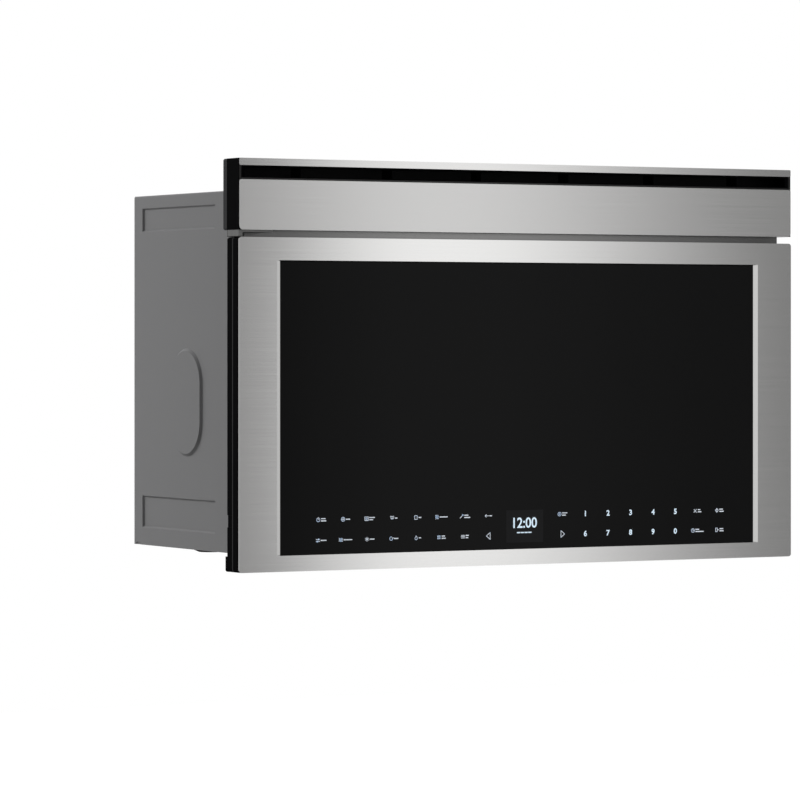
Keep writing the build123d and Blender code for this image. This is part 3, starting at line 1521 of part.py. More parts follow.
with BuildPart() as release_plunger:
    with BuildSketch(Plane.XY.offset(crossbar_z)):
        with Locations((latch_x, plunger_y)):
            RegularPolygon(plunger_radius, bore_sides)
    extrude(amount=-plunger_length)
    crossbar_front = riser_y - riser_depth / 2
    crossbar_length = plunger_y + plunger_radius - crossbar_front
    with Locations((latch_x, crossbar_front + crossbar_length / 2, crossbar_z + crossbar_height / 2)):
        Box(crossbar_width, crossbar_length, crossbar_height)
    with Locations((latch_x, riser_y, (crossbar_z + riser_top) / 2)):
        Box(riser_width, riser_depth, riser_top - crossbar_z)

# Grease filters that swing down, and the lenses of the two worktop lamps
filter_border = 8.0
filter_skin = 1.5
filter_edge_gap = 1.0
tongue_spacing = 110.0
tongue_width = 16.0
tongue_length = 11.0
filter_front_gap = 2.6
filter_axis_y = filter_y + filter_depth / 2 - hinge_lip
filter_low = case_lift + fit_gap
with BuildPart() as grease_filter_left:
    filter_length = filter_depth - hinge_lip - filter_front_gap
    frame_width = filter_width - 2 * filter_edge_gap
    filter_mid_y = filter_axis_y - 0.5 - filter_length / 2
    with BuildSketch(Plane.XY.offset(filter_low)):
        with Locations((-filter_x, filter_mid_y)):
            Rectangle(frame_width, filter_length)
            Rectangle(frame_width - 2 * filter_border, filter_length - 2 * filter_border, mode=Mode.SUBTRACT)
    extrude(amount=filter_thickness)
    with BuildSketch(Plane.XY.offset(filter_low + filter_skin)):
        with Locations((-filter_x, filter_mid_y)):
            Rectangle(frame_width - 2 * filter_border, filter_length - 2 * filter_border)
    extrude(amount=filter_thickness - 2 * filter_skin)
    with BuildSketch(Plane.XY.offset(base_top + fit_gap)):
        with Locations((-filter_x, filter_axis_y + tongue_length / 2 - 1.5)):
            with GridLocations(tongue_spacing, 0, 2, 1):
                Rectangle(tongue_width, tongue_length)
    extrude(amount=filter_skin)

with BuildPart() as grease_filter_right:
    add(mirror(grease_filter_left.part, about=Plane.YZ, mode=Mode.PRIVATE))

lens_flange = 4.0
lens_rim = 3.0
lens_plate = 2.2
socket_height = 18.0
socket_wall = 1.5
socket_roof = 2.0
with BuildPart() as lamp_lenses:
    for side in (-1, 1):
        with BuildSketch(Plane.XY.offset(case_lift)):
            with Locations((side * lens_x, lens_y)):
                Rectangle(lens_width - 2 * fit_gap, lens_depth - 2 * fit_gap)
        extrude(amount=lens_rim)
        with BuildSketch(Plane.XY.offset(base_top)):
            with Locations((side * lens_x, lens_y)):
                Rectangle(lens_width + 2 * lens_flange, lens_depth + 2 * lens_flange)
        extrude(amount=lens_plate)

with BuildPart() as lamp_sockets:
    socket_low = base_top + lens_plate
    inside = lens_flange - socket_wall
    for side in (-1, 1):
        with BuildSketch(Plane.XY.offset(socket_low)):
            with Locations((side * lens_x, lens_y)):
                Rectangle(lens_width + 2 * lens_flange, lens_depth + 2 * lens_flange)
        extrude(amount=socket_height)
        with BuildSketch(Plane.XY.offset(socket_low)):
            with Locations((side * lens_x, lens_y)):
                Rectangle(lens_width + 2 * inside, lens_depth + 2 * inside)
        extrude(amount=socket_height - socket_roof, mode=Mode.SUBTRACT)

pieces = {
    "outer_wrapper": outer_wrapper,
    "base_plate": base_plate,
    "base_plugs": base_plugs,
    "rear_panel": rear_panel,
    "wall_mounting_plate": wall_mounting_plate,
    "front_frame": front_frame,
    "front_rail": front_rail,
    "oven_cavity": oven_cavity,
    "cavity_floor": cavity_floor,
    "fan_cover": fan_cover,
    "convection_fan": convection_fan,
    "convection_motor": convection_motor,
    "convection_heater": convection_heater,
    "waveguide": waveguide,
    "magnetron": magnetron,
    "stirrer": stirrer,
    "stirrer_motor": stirrer_motor,
    "stirrer_cover": stirrer_cover,
    "broil_element": broil_element,
    "oven_rack": oven_rack,
    "cavity_lamp": cavity_lamp,
    "probe_jack": probe_jack,
    "power_transformer": power_transformer,
    "hv_capacitor": hv_capacitor,
    "cooling_fan": cooling_fan,
    "cooling_motor": cooling_motor,
    "circuit_boards": circuit_boards,
    "cord_gland": cord_gland,
    "blower_housing": blower_housing,
    "blower_motor": blower_motor,
    "blower_wheels": blower_wheels,
    "exhaust_adapter": exhaust_adapter,
    "damper_flap": damper_flap,
    "hood_frame": hood_frame,
    "hood_caps": hood_caps,
    "hood_panel": hood_panel,
    "top_bar": top_bar,
    "vent_grille": vent_grille,
    "charcoal_filter": charcoal_filter,
    "door_trim": door_trim,
    "door_glass": door_glass,
    "door_frame": door_frame,
    "door_choke": door_choke,
    "door_cover": door_cover,
    "door_inner_glass": door_inner_glass,
    "touch_board": touch_board,
    "display_module": display_module,
    "upper_hinge": upper_hinge,
    "lower_hinge": lower_hinge,
    "lower_hinge_pin": lower_hinge_pin,
    "latch_hooks": latch_hooks,
    "interlock_bracket": interlock_bracket,
    "door_switches": door_switches,
    "switch_buttons": switch_buttons,
    "release_actuator": release_actuator,
    "release_plunger": release_plunger,
    "grease_filter_left": grease_filter_left,
    "grease_filter_right": grease_filter_right,
    "lamp_lenses": lamp_lenses,
    "lamp_sockets": lamp_sockets,
}
for name, piece in pieces.items():
    piece.part.label = name
    export_step(piece.part, f"parts/{name}.step")
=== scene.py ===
import math

import bmesh
import bpy
from mathutils import Matrix, Vector


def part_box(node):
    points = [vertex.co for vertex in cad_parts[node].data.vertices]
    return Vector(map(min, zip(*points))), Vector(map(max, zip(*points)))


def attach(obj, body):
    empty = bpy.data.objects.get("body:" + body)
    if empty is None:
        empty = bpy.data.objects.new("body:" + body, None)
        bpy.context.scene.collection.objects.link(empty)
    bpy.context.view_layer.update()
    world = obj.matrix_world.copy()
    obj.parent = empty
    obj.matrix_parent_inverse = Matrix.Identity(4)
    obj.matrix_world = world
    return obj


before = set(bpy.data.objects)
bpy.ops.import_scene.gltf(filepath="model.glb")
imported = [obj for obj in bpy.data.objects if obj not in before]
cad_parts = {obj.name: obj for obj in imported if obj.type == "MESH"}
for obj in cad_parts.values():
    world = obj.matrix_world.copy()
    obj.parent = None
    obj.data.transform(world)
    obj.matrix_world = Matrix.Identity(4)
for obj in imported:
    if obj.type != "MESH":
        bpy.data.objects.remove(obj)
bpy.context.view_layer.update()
mm = 0.001

# Wall plate and rear panel. Both are pressed from hot-dip galvanised sheet steel. The plate is
# lagged to the wall, and the panel is screwed to the case with bright pan-head screws.


def part(tree, kind, sockets=None, **settings):
    """Adds one node to a tree, with its settings, and a value or a link for each named socket."""
    made = tree.nodes.new(kind)
    for name, value in settings.items():
        setattr(made, name, value)
    for name, value in (sockets or {}).items():
        if isinstance(value, bpy.types.NodeSocket):
            tree.links.new(value, made.inputs[name])
        else:
            made.inputs[name].default_value = value
    return made


def times(tree, value, factor):
    """A value of a tree multiplied by a number or by another value."""
    return part(tree, "ShaderNodeMath", {0: value, 1: factor}, operation="MULTIPLY").outputs[0]


def finish(name, colour, roughness, grain, shades=(0.9, 1.1), rub=0.06, bump=0.02,
           metallic=0.0, specular=0.5, kind="ShaderNodeTexNoise", level="Fac", detail=3.0):
    """A material whose colour, roughness and relief follow one grain, in grains per metre."""
    made = bpy.data.materials.new(name)
    made.use_nodes = True
    tree = made.node_tree
    tree.nodes.clear()
    where = part(tree, "ShaderNodeTexCoord")
    stretch = part(tree, "ShaderNodeMapping",
                   {"Vector": where.outputs["Object"], "Scale": grain})
    pattern = part(tree, kind, {"Vector": stretch.outputs["Vector"], "Scale": 1.0})
    if kind == "ShaderNodeTexNoise":
        pattern.inputs["Detail"].default_value = detail
    height = pattern.outputs[level]
    low_grain, high_grain = 0.25, 0.75
    tint = part(tree, "ShaderNodeValToRGB", {"Fac": height})
    for stop, place, shade in zip(tint.color_ramp.elements, (low_grain, high_grain), shades):
        stop.position = place
        stop.color = (*[min(1.0, channel * shade) for channel in colour], 1.0)
    worn = part(tree, "ShaderNodeMapRange",
                {"Value": height, "From Min": low_grain, "From Max": high_grain,
                 "To Min": max(0.02, roughness - rub), "To Max": roughness + rub})
    relief = part(tree, "ShaderNodeBump",
                  {"Height": height, "Strength": 1.0, "Distance": bump * mm})
    shader = part(tree, "ShaderNodeBsdfPrincipled",
                  {"Base Color": tint.outputs["Color"], "Roughness": worn.outputs["Result"],
                   "Normal": relief.outputs["Normal"], "Metallic": metallic,
                   "Specular IOR Level": specular})
    part(tree, "ShaderNodeOutputMaterial", {"Surface": shader.outputs["BSDF"]})
    return made


def dress(material, *names):
    """Puts a material into the CAD nodes' own slot."""
    for name in names:
        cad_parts[name].data.materials[0] = material


galvanised = finish("galvanised_sheet", (0.46, 0.47, 0.48), 0.4, (170, 170, 170),
                    shades=(0.95, 1.05), rub=0.04, bump=0.0, metallic=0.8,
                    kind="ShaderNodeTexVoronoi", level="Color")
dress(galvanised, "rear_panel")
plate_zinc = finish("wall_plate_zinc", (0.33, 0.34, 0.35), 0.36, (240, 240, 240),
                    shades=(0.93, 1.07), rub=0.04, bump=0.0, metallic=0.8,
                    kind="ShaderNodeTexVoronoi", level="Color")
dress(plate_zinc, "wall_mounting_plate")
bright_zinc = finish("bright_zinc", (0.44, 0.44, 0.43), 0.3, (900, 900, 900), metallic=1.0)


def new_tree(name, sizes):
    """A Geometry Nodes tree with named inputs for its sizes; also gives those inputs."""
    tree = bpy.data.node_groups.new(name, "GeometryNodeTree")
    face = tree.interface
    face.new_socket("Geometry", in_out="INPUT", socket_type="NodeSocketGeometry")
    face.new_socket("Geometry", in_out="OUTPUT", socket_type="NodeSocketGeometry")
    face.new_socket("Finish", in_out="INPUT", socket_type="NodeSocketMaterial")
    for label, value in sizes.items():
        kind = "Vector" if isinstance(value, tuple) else "Float"
        socket = face.new_socket(label, in_out="INPUT", socket_type="NodeSocket" + kind)
        socket.default_value = value
    return tree, part(tree, "NodeGroupInput").outputs


def close_tree(tree, geometry, given):
    """Ends a tree with real geometry in the finish that it was given."""
    real = part(tree, "GeometryNodeRealizeInstances", {"Geometry": geometry})
    dressed = part(tree, "GeometryNodeSetMaterial",
                   {"Geometry": real.outputs["Geometry"], "Material": given["Finish"]})
    part(tree, "NodeGroupOutput", {"Geometry": dressed.outputs["Geometry"]})


def keep(name, mesh, body, place=None):
    """Makes a finished mesh a piece that rides on a body, with its place in its mesh."""
    if place is not None:
        mesh.transform(place)
    piece = bpy.data.objects.new(name, mesh)
    bpy.context.scene.collection.objects.link(piece)
    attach(piece, body)


def grow(name, tree, body, slot, material, spots=((0, 0, 0),), place=None, **sizes):
    """Runs a tree on points and keeps its result as a plain mesh."""
    seeds = bpy.data.meshes.new(name)
    seeds.from_pydata([Vector(spot) for spot in spots], [], [])
    blank = bpy.data.objects.new(name + "_seeds", seeds)
    bpy.context.scene.collection.objects.link(blank)
    modifier = blank.modifiers.new("grow", "NODES")
    modifier.node_group = tree
    wanted = {"Finish": material}
    wanted.update({label.replace("_", " "): value for label, value in sizes.items()})
    for item in tree.interface.items_tree:
        if item.item_type == "SOCKET" and item.in_out == "INPUT" and item.name in wanted:
            modifier[item.identifier] = wanted[item.name]
    bpy.context.view_layer.update()
    done = blank.evaluated_get(bpy.context.evaluated_depsgraph_get())
    mesh = bpy.data.meshes.new_from_object(done)
    bpy.data.objects.remove(blank)
    keep(name, mesh, body, place)


screw_tree, given = new_tree("pan_head_screws", {"Head radius": 0.004, "Head height": 0.0024,
                                                 "Facing": (0.0, 0.0, 1.0)})
# A head's flat top and its cross recess, as shares of the head's radius.
crown_share, recess_length, recess_width = 0.62, 1.05, 0.24
head = part(screw_tree, "GeometryNodeMeshCone",
            {"Vertices": 20, "Radius Bottom": given["Head radius"],
             "Radius Top": times(screw_tree, given["Head radius"], crown_share),
             "Depth": given["Head height"]})
bar_length = times(screw_tree, given["Head radius"], recess_length)
bar_width = times(screw_tree, given["Head radius"], recess_width)
cut = part(screw_tree, "GeometryNodeMeshBoolean",
           {"Mesh 1": head.outputs["Mesh"]}, operation="DIFFERENCE", solver="EXACT")
for along, across in ((bar_length, bar_width), (bar_width, bar_length)):
    size = part(screw_tree, "ShaderNodeCombineXYZ",
                {"X": along, "Y": across, "Z": given["Head height"]})
    slot_cut = part(screw_tree, "GeometryNodeMeshCube", {"Size": size.outputs["Vector"]})
    lift = part(screw_tree, "ShaderNodeCombineXYZ", {"Z": given["Head height"]})
    raised = part(screw_tree, "GeometryNodeTransform",
                  {"Geometry": slot_cut.outputs["Mesh"], "Translation": lift.outputs["Vector"]})
    screw_tree.links.new(raised.outputs["Geometry"], cut.inputs["Mesh 2"])
turned = part(screw_tree, "FunctionNodeAlignRotationToVector", {"Vector": given["Facing"]},
              axis="Z")
set_screws = part(screw_tree, "GeometryNodeInstanceOnPoints",
                  {"Points": given["Geometry"], "Instance": cut.outputs["Mesh"],
                   "Rotation": turned.outputs["Rotation"]})
close_tree(screw_tree, set_screws.outputs["Instances"], given)

rear_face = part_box("rear_panel")[1].y
rear_edge, rear_pitch = 346 * mm, 115 * mm
rear_rows = (275 * mm, 350 * mm, 424 * mm)
rear_spots = [(side * rear_edge, rear_face, row) for side in (-1, 1) for row in rear_rows]
rear_spots += [(step * rear_pitch, rear_face, rear_rows[-1]) for step in (-2, -1, 0, 1, 2)]
grow("rear_screws", screw_tree, "case", "zinc_sheet", bright_zinc, rear_spots,
     Head_radius=4.2 * mm, Head_height=1.5 * mm, Facing=(0.0, 1.0, 0.0))

# Case wrapper and base plate. One sheet is bent into the roof and both sides, with a raised oval
# and two sunk bars on each side, and it is powder coated satin grey like the base under it. Black
# rubber plugs fill the base's holes, and bright screws hold the roof and the base.

satin_grey = finish("satin_grey_paint", (0.185, 0.185, 0.188), 0.42, (1400, 1400, 1400),
                    shades=(0.94, 1.06), rub=0.03, bump=0.006, specular=0.2)
dress(satin_grey, "outer_wrapper", "base_plate")
rubber = finish("black_rubber", (0.003, 0.003, 0.003), 0.7, (1500, 1500, 1500), bump=0.01,
                specular=0.01)
dress(rubber, "base_plugs")

base_edge, base_rows = 340 * mm, (-262 * mm, -18 * mm)
head_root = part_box("base_plate")[0].z + 0.8 * mm
base_spots = [(side * base_edge, row, head_root) for side in (-1, 1) for row in base_rows]
grow("base_screws", screw_tree, "case", "zinc_sheet", bright_zinc, base_spots,
     Head_radius=3.2 * mm, Head_height=1.6 * mm, Facing=(0.0, 0.0, -1.0))

roof_low, roof_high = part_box("outer_wrapper")
duct_low, duct_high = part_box("exhaust_adapter")
duct_y = (duct_low.y + duct_high.y) / 2
duct_edge, duct_reach = duct_high.x - 7 * mm, 30 * mm
roof_spots = [(side * duct_edge, duct_y + way * duct_reach, roof_high.z)
              for side in (-1, 1) for way in (-1, 1)]
roof_row, roof_pitch = roof_low.y + 12 * mm, 200 * mm
roof_spots += [(step * roof_pitch, roof_row, roof_high.z) for step in (-1.5, -0.5, 0.5, 1.5)]
grow("roof_screws", screw_tree, "case", "zinc_sheet", bright_zinc, roof_spots,
     Head_radius=3.4 * mm, Head_height=1.6 * mm, Facing=(0.0, 0.0, 1.0))

# Front plate, thin rail and galvanised inner sheet metal. The enamelled plate carries the oven's
# mouth and is screwed to the case, and the brushed rail closes the joint under the hood.

dress(galvanised, "waveguide", "blower_housing", "exhaust_adapter", "damper_flap",
      "interlock_bracket")
plate_grey = finish("plate_grey_enamel", (0.20, 0.205, 0.21), 0.28, (1800, 1800, 1800),
                    shades=(0.92, 1.08), rub=0.03, bump=0.003)
dress(plate_grey, "front_frame")
mouth_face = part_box("front_frame")[0].y
mouth_edge, side_row = 346 * mm, 205 * mm
foot_pitch, foot_row = 250 * mm, 38 * mm
mouth_spots = [(step * foot_pitch, mouth_face, foot_row) for step in (-1, 0, 1)]
mouth_spots += [(side * mouth_edge, mouth_face, side_row) for side in (-1, 1)]
grow("front_plate_screws", screw_tree, "case", "zinc_sheet", bright_zinc, mouth_spots,
     Head_radius=3.2 * mm, Head_height=1.0 * mm, Facing=(0.0, -1.0, 0.0))


def brushed(name, shade, roughness):
    """Stainless steel brushed along X, so that its gloss spreads up and down."""
    steel = finish(name, (shade, shade * 0.995, shade * 0.985), roughness, (5, 2600, 2600),
                   shades=(0.95, 1.05), rub=0.02, bump=0.0006, metallic=1.0, detail=5.0)
    tree = steel.node_tree
    shader = tree.nodes["Principled BSDF"]
    shader.inputs["Anisotropic"].default_value = 0.95
    upright = part(tree, "ShaderNodeCombineXYZ", {"Z": 1.0})
    tree.links.new(upright.outputs["Vector"], shader.inputs["Tangent"])
    return steel


dress(brushed("dark_brushed_rail", 0.140, 0.13), "front_rail")

# Oven cavity, floor plate, rack, fan, stirrer, heaters and lamp. The cavity is drawn steel in a
# grey speckled enamel, with small holes punched through its wall in front of the lamp, drawn as
# black dots painted with the shade behind them, and the floor is a white glass-ceramic plate
# bonded into it.

speckled_enamel = finish("speckled_enamel", (0.30, 0.31, 0.32), 0.22, (2600, 2600, 2600),
                         shades=(0.55, 1.2), rub=0.03, bump=0.004, detail=1.0)
dress(speckled_enamel, "oven_cavity", "fan_cover")
glass_ceramic = finish("glass_ceramic", (0.80, 0.80, 0.78), 0.16, (700, 700, 700),
                       shades=(0.94, 1.02), rub=0.02, bump=0.002)
dress(glass_ceramic, "cavity_floor")
pressed_steel = finish("pressed_steel", (0.55, 0.54, 0.52), 0.34, (260, 260, 260),
                       metallic=1.0, bump=0.006)
dress(pressed_steel, "convection_fan", "stirrer", "magnetron")
heat_tinted = finish("heat_tinted_steel", (0.20, 0.17, 0.15), 0.5, (500, 500, 500),
                     shades=(0.6, 1.3), metallic=0.9, bump=0.01)
dress(heat_tinted, "convection_heater", "broil_element")
mica = finish("mica_sheet", (0.52, 0.46, 0.36), 0.35, (160, 160, 420),
              shades=(0.8, 1.15), bump=0.01, kind="ShaderNodeTexVoronoi", level="Distance")
dress(mica, "stirrer_cover")
bright_wire = finish("bright_wire", (0.68, 0.68, 0.67), 0.2, (1800, 1800, 1800),
                     metallic=1.0, bump=0.002)
dress(bright_wire, "oven_rack")
lamp_ceramic = finish("lamp_ceramic", (0.78, 0.77, 0.72), 0.5, (900, 900, 900), bump=0.008)
dress(lamp_ceramic, "cavity_lamp")
brass = finish("brass_fitting", (0.72, 0.52, 0.22), 0.3, (1200, 1200, 1200), metallic=1.0)
dress(brass, "probe_jack")


def staggered(tree, given):
    """Points in staggered rows over a flat field, from the tree's own sizes."""
    field = part(tree, "GeometryNodeJoinGeometry")
    spans = {}
    for label, step in (("Length", "Pitch along"), ("Depth", "Pitch across")):
        ratio = part(tree, "ShaderNodeMath", {0: given[label], 1: given[step]},
                     operation="DIVIDE")
        whole = part(tree, "FunctionNodeFloatToInt", {"Float": ratio.outputs[0]},
                     rounding_mode="FLOOR")
        size = times(tree, whole.outputs["Integer"], given[step])
        points = part(tree, "ShaderNodeMath", {0: whole.outputs["Integer"], 1: 1.0},
                      operation="ADD")
        inner = part(tree, "ShaderNodeMath", {0: size, 1: given[step]}, operation="SUBTRACT")
        spans[label] = ((size, points.outputs[0]), (inner.outputs[0], whole.outputs["Integer"]))
    for row in (0, 1):
        grid = part(tree, "GeometryNodeMeshGrid",
                    {"Size X": spans["Length"][row][0], "Size Y": spans["Depth"][row][0],
                     "Vertices X": spans["Length"][row][1],
                     "Vertices Y": spans["Depth"][row][1]})
        tree.links.new(grid.outputs["Mesh"], field.inputs["Geometry"])
    return field.outputs["Geometry"]


hole_tree, given = new_tree("punched_holes", {"Length": 0.2, "Depth": 0.1,
                                              "Pitch along": 0.005, "Pitch across": 0.005,
                                              "Hole": 0.0012})
hole = part(hole_tree, "GeometryNodeMeshCircle", {"Vertices": 6, "Radius": given["Hole"]},
            fill_type="NGON")
punched = part(hole_tree, "GeometryNodeInstanceOnPoints",
               {"Points": staggered(hole_tree, given), "Instance": hole.outputs["Mesh"]})
close_tree(hole_tree, punched.outputs["Instances"], given)

# The holes are flat black dots: painted shade of the dark space behind each hole.
hole_shade_black = finish("painted_hole_shade", (0.004, 0.004, 0.004), 0.5, (900, 900, 900), bump=0.0,
                      specular=0.1)
lamp_low, lamp_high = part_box("cavity_lamp")
lamp_middle = (lamp_low + lamp_high) / 2
lamp_span, lamp_pitch, off_wall = 23 * mm, 4.2 * mm, 0.06 * mm
lamp_place = (Matrix.Translation((lamp_low.x - off_wall, lamp_middle.y, lamp_middle.z))
              @ Matrix.Rotation(-math.pi / 2, 4, "Y"))
grow("lamp_screen", hole_tree, "case", "lamp_ceramic", hole_shade_black, place=lamp_place,
     Length=lamp_span, Depth=lamp_span, Pitch_along=lamp_pitch, Pitch_across=lamp_pitch,
     Hole=1.3 * mm)

# Motors, transformer, capacitor, fans, switches and boards behind the case's right side and rear.
# They are bolted to the base, the cavity and the waveguide. The latch's hooks, plunger and
# switch buttons are pale mouldings.

motor_black = finish("motor_black", (0.045, 0.045, 0.05), 0.5, (20, 20, 2200),
                     shades=(0.7, 1.4), bump=0.02)
dress(motor_black, "convection_motor", "stirrer_motor", "cooling_motor", "blower_motor")
laminated_iron = finish("laminated_iron", (0.16, 0.15, 0.14), 0.5, (2200, 20, 20),
                        shades=(0.6, 1.3), metallic=0.7, bump=0.03)
dress(laminated_iron, "power_transformer")
drawn_can = finish("drawn_can", (0.60, 0.60, 0.58), 0.35, (60, 900, 900), metallic=1.0)
dress(drawn_can, "hv_capacitor")
black_plastic = finish("black_plastic", (0.016, 0.016, 0.017), 0.5, (2400, 2400, 2400),
                       shades=(0.9, 1.1), bump=0.008, specular=0.3)
dress(black_plastic, "cord_gland", "cooling_fan", "blower_wheels", "door_switches",
      "release_actuator", "lamp_sockets")
pale_plastic = finish("pale_plastic", (0.72, 0.71, 0.66), 0.4, (1600, 1600, 1600), bump=0.004)
dress(pale_plastic, "latch_hooks", "release_plunger", "switch_buttons")
solder_mask = finish("solder_mask", (0.03, 0.14, 0.07), 0.3, (350, 350, 90),
                     shades=(0.6, 1.5), bump=0.02, kind="ShaderNodeTexVoronoi",
                     level="Distance")
dress(solder_mask, "circuit_boards", "touch_board")

# Vent parts: grease filters, charcoal bed and lamp lenses. Each grease filter is expanded
# aluminium mesh in a folded frame and hangs on its own pins, and the lenses are frosted.

filter_frame = finish("filter_frame", (0.62, 0.62, 0.62), 0.36, (400, 40, 400), metallic=1.0,
                      bump=0.004)
dress(filter_frame, "grease_filter_left", "grease_filter_right")
charcoal = finish("charcoal_granules", (0.03, 0.03, 0.032), 0.8, (420, 420, 420),
                  shades=(0.4, 1.8), bump=0.6, kind="ShaderNodeTexVoronoi", level="Distance")
dress(charcoal, "charcoal_filter")
lens = finish("frosted_lens", (0.82, 0.84, 0.85), 0.25, (260, 260, 260), bump=0.05)
lens.node_tree.nodes["Principled BSDF"].inputs["Transmission Weight"].default_value = 0.6
dress(lens, "lamp_lenses")

mesh_tree, given = new_tree("expanded_mesh", {"Length": 0.18, "Depth": 0.11,
                                              "Pitch along": 0.0075, "Pitch across": 0.0038,
                                              "Wire": 0.00035})
square = part(mesh_tree, "GeometryNodeCurvePrimitiveCircle", {"Resolution": 4, "Radius": 0.5})
drawn = part(mesh_tree, "ShaderNodeCombineXYZ",
             {"X": given["Pitch along"], "Y": given["Pitch across"], "Z": 1.0})
diamond = part(mesh_tree, "GeometryNodeTransform",
               {"Geometry": square.outputs["Curve"], "Scale": drawn.outputs["Vector"]})
round_wire = part(mesh_tree, "GeometryNodeCurvePrimitiveCircle",
                  {"Resolution": 3, "Radius": given["Wire"]})
link = part(mesh_tree, "GeometryNodeCurveToMesh",
            {"Curve": diamond.outputs["Geometry"], "Profile Curve": round_wire.outputs["Curve"]})
laid = part(mesh_tree, "GeometryNodeInstanceOnPoints",
            {"Points": staggered(mesh_tree, given), "Instance": link.outputs["Mesh"]})
close_tree(mesh_tree, laid.outputs["Instances"], given)

aluminium = finish("aluminium_wire", (0.66, 0.67, 0.68), 0.32, (2200, 2200, 2200),
                   metallic=1.0, bump=0.0)
frame_edges, below_frame = 22 * mm, 0.2 * mm
for side in ("left", "right"):
    low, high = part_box("grease_filter_" + side)
    middle = (low + high) / 2
    place = Matrix.Translation((middle.x, middle.y, low.z - below_frame))
    grow("filter_mesh_" + side, mesh_tree, "filter_" + side, "filter_mesh", aluminium,
         place=place, Length=(high.x - low.x) - frame_edges,
         Depth=(high.y - low.y) - frame_edges)

# Hood: chassis, end caps, outlet grille, bar and panel. The bar and the panel are brushed
# stainless steel folded over the chassis, and the caps and the grille are black mouldings. A
# black brushed lip along the foot of the outlet and a jamb at each end line the slot.

hood_paint = finish("hood_paint", (0.022, 0.022, 0.023), 0.5, (1800, 1800, 1800),
                    bump=0.004, specular=0.06)
dress(hood_paint, "hood_frame")
cap_black = finish("cap_black", (0.0016, 0.0016, 0.0018), 0.5, (2600, 2600, 2600),
                   shades=(0.9, 1.1), bump=0.002, specular=0.004)
dress(cap_black, "hood_caps", "vent_grille")
dress(brushed("brushed_steel_bar", 0.45, 0.13), "top_bar")
dress(brushed("brushed_steel_panel", 0.425, 0.2), "hood_panel")


def moulding(mesh, corners, start, end, axis):
    """A straight moulding with the given section, from start to end along an axis."""
    ends = []
    for along in (start, end):
        ends.append([mesh.verts.new((along, y, other) if axis == "X" else (other, y, along))
                     for y, other in corners])
    mesh.faces.new(ends[0])
    mesh.faces.new(ends[1][::-1])
    for first in range(len(corners)):
        second = (first + 1) % len(corners)
        mesh.faces.new([ends[0][second], ends[0][first], ends[1][first], ends[1][second]])


def cast(name, mesh, material):
    """Turns mouldings into one plain mesh in one finish, with their faces outwards."""
    bmesh.ops.recalc_face_normals(mesh, faces=mesh.faces)
    result = bpy.data.meshes.new(name)
    mesh.to_mesh(result)
    mesh.free()
    result.materials.append(material)
    return result


panel_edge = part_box("hood_panel")[1].x
cap_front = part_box("hood_caps")[0].y
grille_low, grille_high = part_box("vent_grille")
lip_front, lip_back = grille_low.y - 0.15 * mm, grille_low.y + 6 * mm
lip_low, lip_high = grille_low.z + 0.05 * mm, grille_low.z + 2.5 * mm
round_over = 0.6 * mm
surround = bmesh.new()
moulding(surround, [(lip_front, lip_low), (lip_front, lip_high - round_over),
                    (lip_front + round_over, lip_high), (lip_back, lip_high),
                    (lip_back, lip_low)],
         grille_low.x, grille_high.x, "X")
jamb_front, jamb_back, jamb_round = cap_front - 0.2 * mm, cap_front + 0.35 * mm, 0.15 * mm
jamb_top = grille_high.z - 0.1 * mm
for side in (-1, 1):
    outer = side * (panel_edge - 0.1 * mm)
    inner = side * (grille_high.x + 0.3 * mm)
    moulding(surround, [(jamb_front, outer), (jamb_front, inner + side * jamb_round),
                        (jamb_front + jamb_round, inner), (jamb_back, inner),
                        (jamb_back, outer)],
             lip_low, jamb_top, "Z")
black_steel = brushed("black_brushed_lip", 0.022, 0.2)
keep("outlet_surround", cast("outlet_surround", surround, black_steel), "case")

# Door hinges. The upper bracket is a plated steel plate over the door with a pin down into it.
# The lower strap stands out from the front plate, painted black, and carries a bright pin.

plated = finish("plated_hinge", (0.12, 0.12, 0.118), 0.5, (1300, 1300, 1300),
                shades=(0.45, 1.5), bump=0.03, metallic=0.8)
dress(plated, "upper_hinge")
dress(hood_paint, "lower_hinge")
dress(bright_wire, "lower_hinge_pin")

# Door: trim, touch glass, frame, choke, inner cover and inner glass. The trim is brushed
# stainless steel with a bevelled window over black glass. The inner cover is a black moulding
# held by black screws, and the screen's holes show as black dots on the inner glass, painted
# shade of the dark cavity behind them.

dress(brushed("brushed_steel_trim", 0.475, 0.125), "door_trim")
black_glass = finish("black_glass", (0.0080, 0.0080, 0.0081), 0.04, (3, 3, 3),
                     shades=(0.97, 1.03), rub=0.005, bump=0.0, specular=0.03)
dress(black_glass, "door_glass")
dress(hood_paint, "door_choke")
dress(cap_black, "door_frame", "door_cover")
inner_glass = finish("inner_glass", (0.05, 0.05, 0.052), 0.06, (4, 4, 4),
                     shades=(0.97, 1.03), rub=0.005, bump=0.0, specular=0.5)
dress(inner_glass, "door_inner_glass")
pane_low, pane_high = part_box("door_inner_glass")
pane = (pane_low + pane_high) / 2
on_pane, pane_edges, dot_pitch = 0.03 * mm, 22 * mm, 4.6 * mm
screen_place = (Matrix.Translation((pane.x, pane_high.y + on_pane, pane.z))
                @ Matrix.Rotation(-math.pi / 2, 4, "X"))
# The screen's holes are black dots on the pane: painted shade of the cavity behind them.
grow("door_screen", hole_tree, "door", "black_glass", hole_shade_black, place=screen_place,
     Length=(pane_high.x - pane_low.x) - pane_edges,
     Depth=(pane_high.z - pane_low.z) - pane_edges,
     Pitch_along=dot_pitch, Pitch_across=dot_pitch, Hole=1.15 * mm)

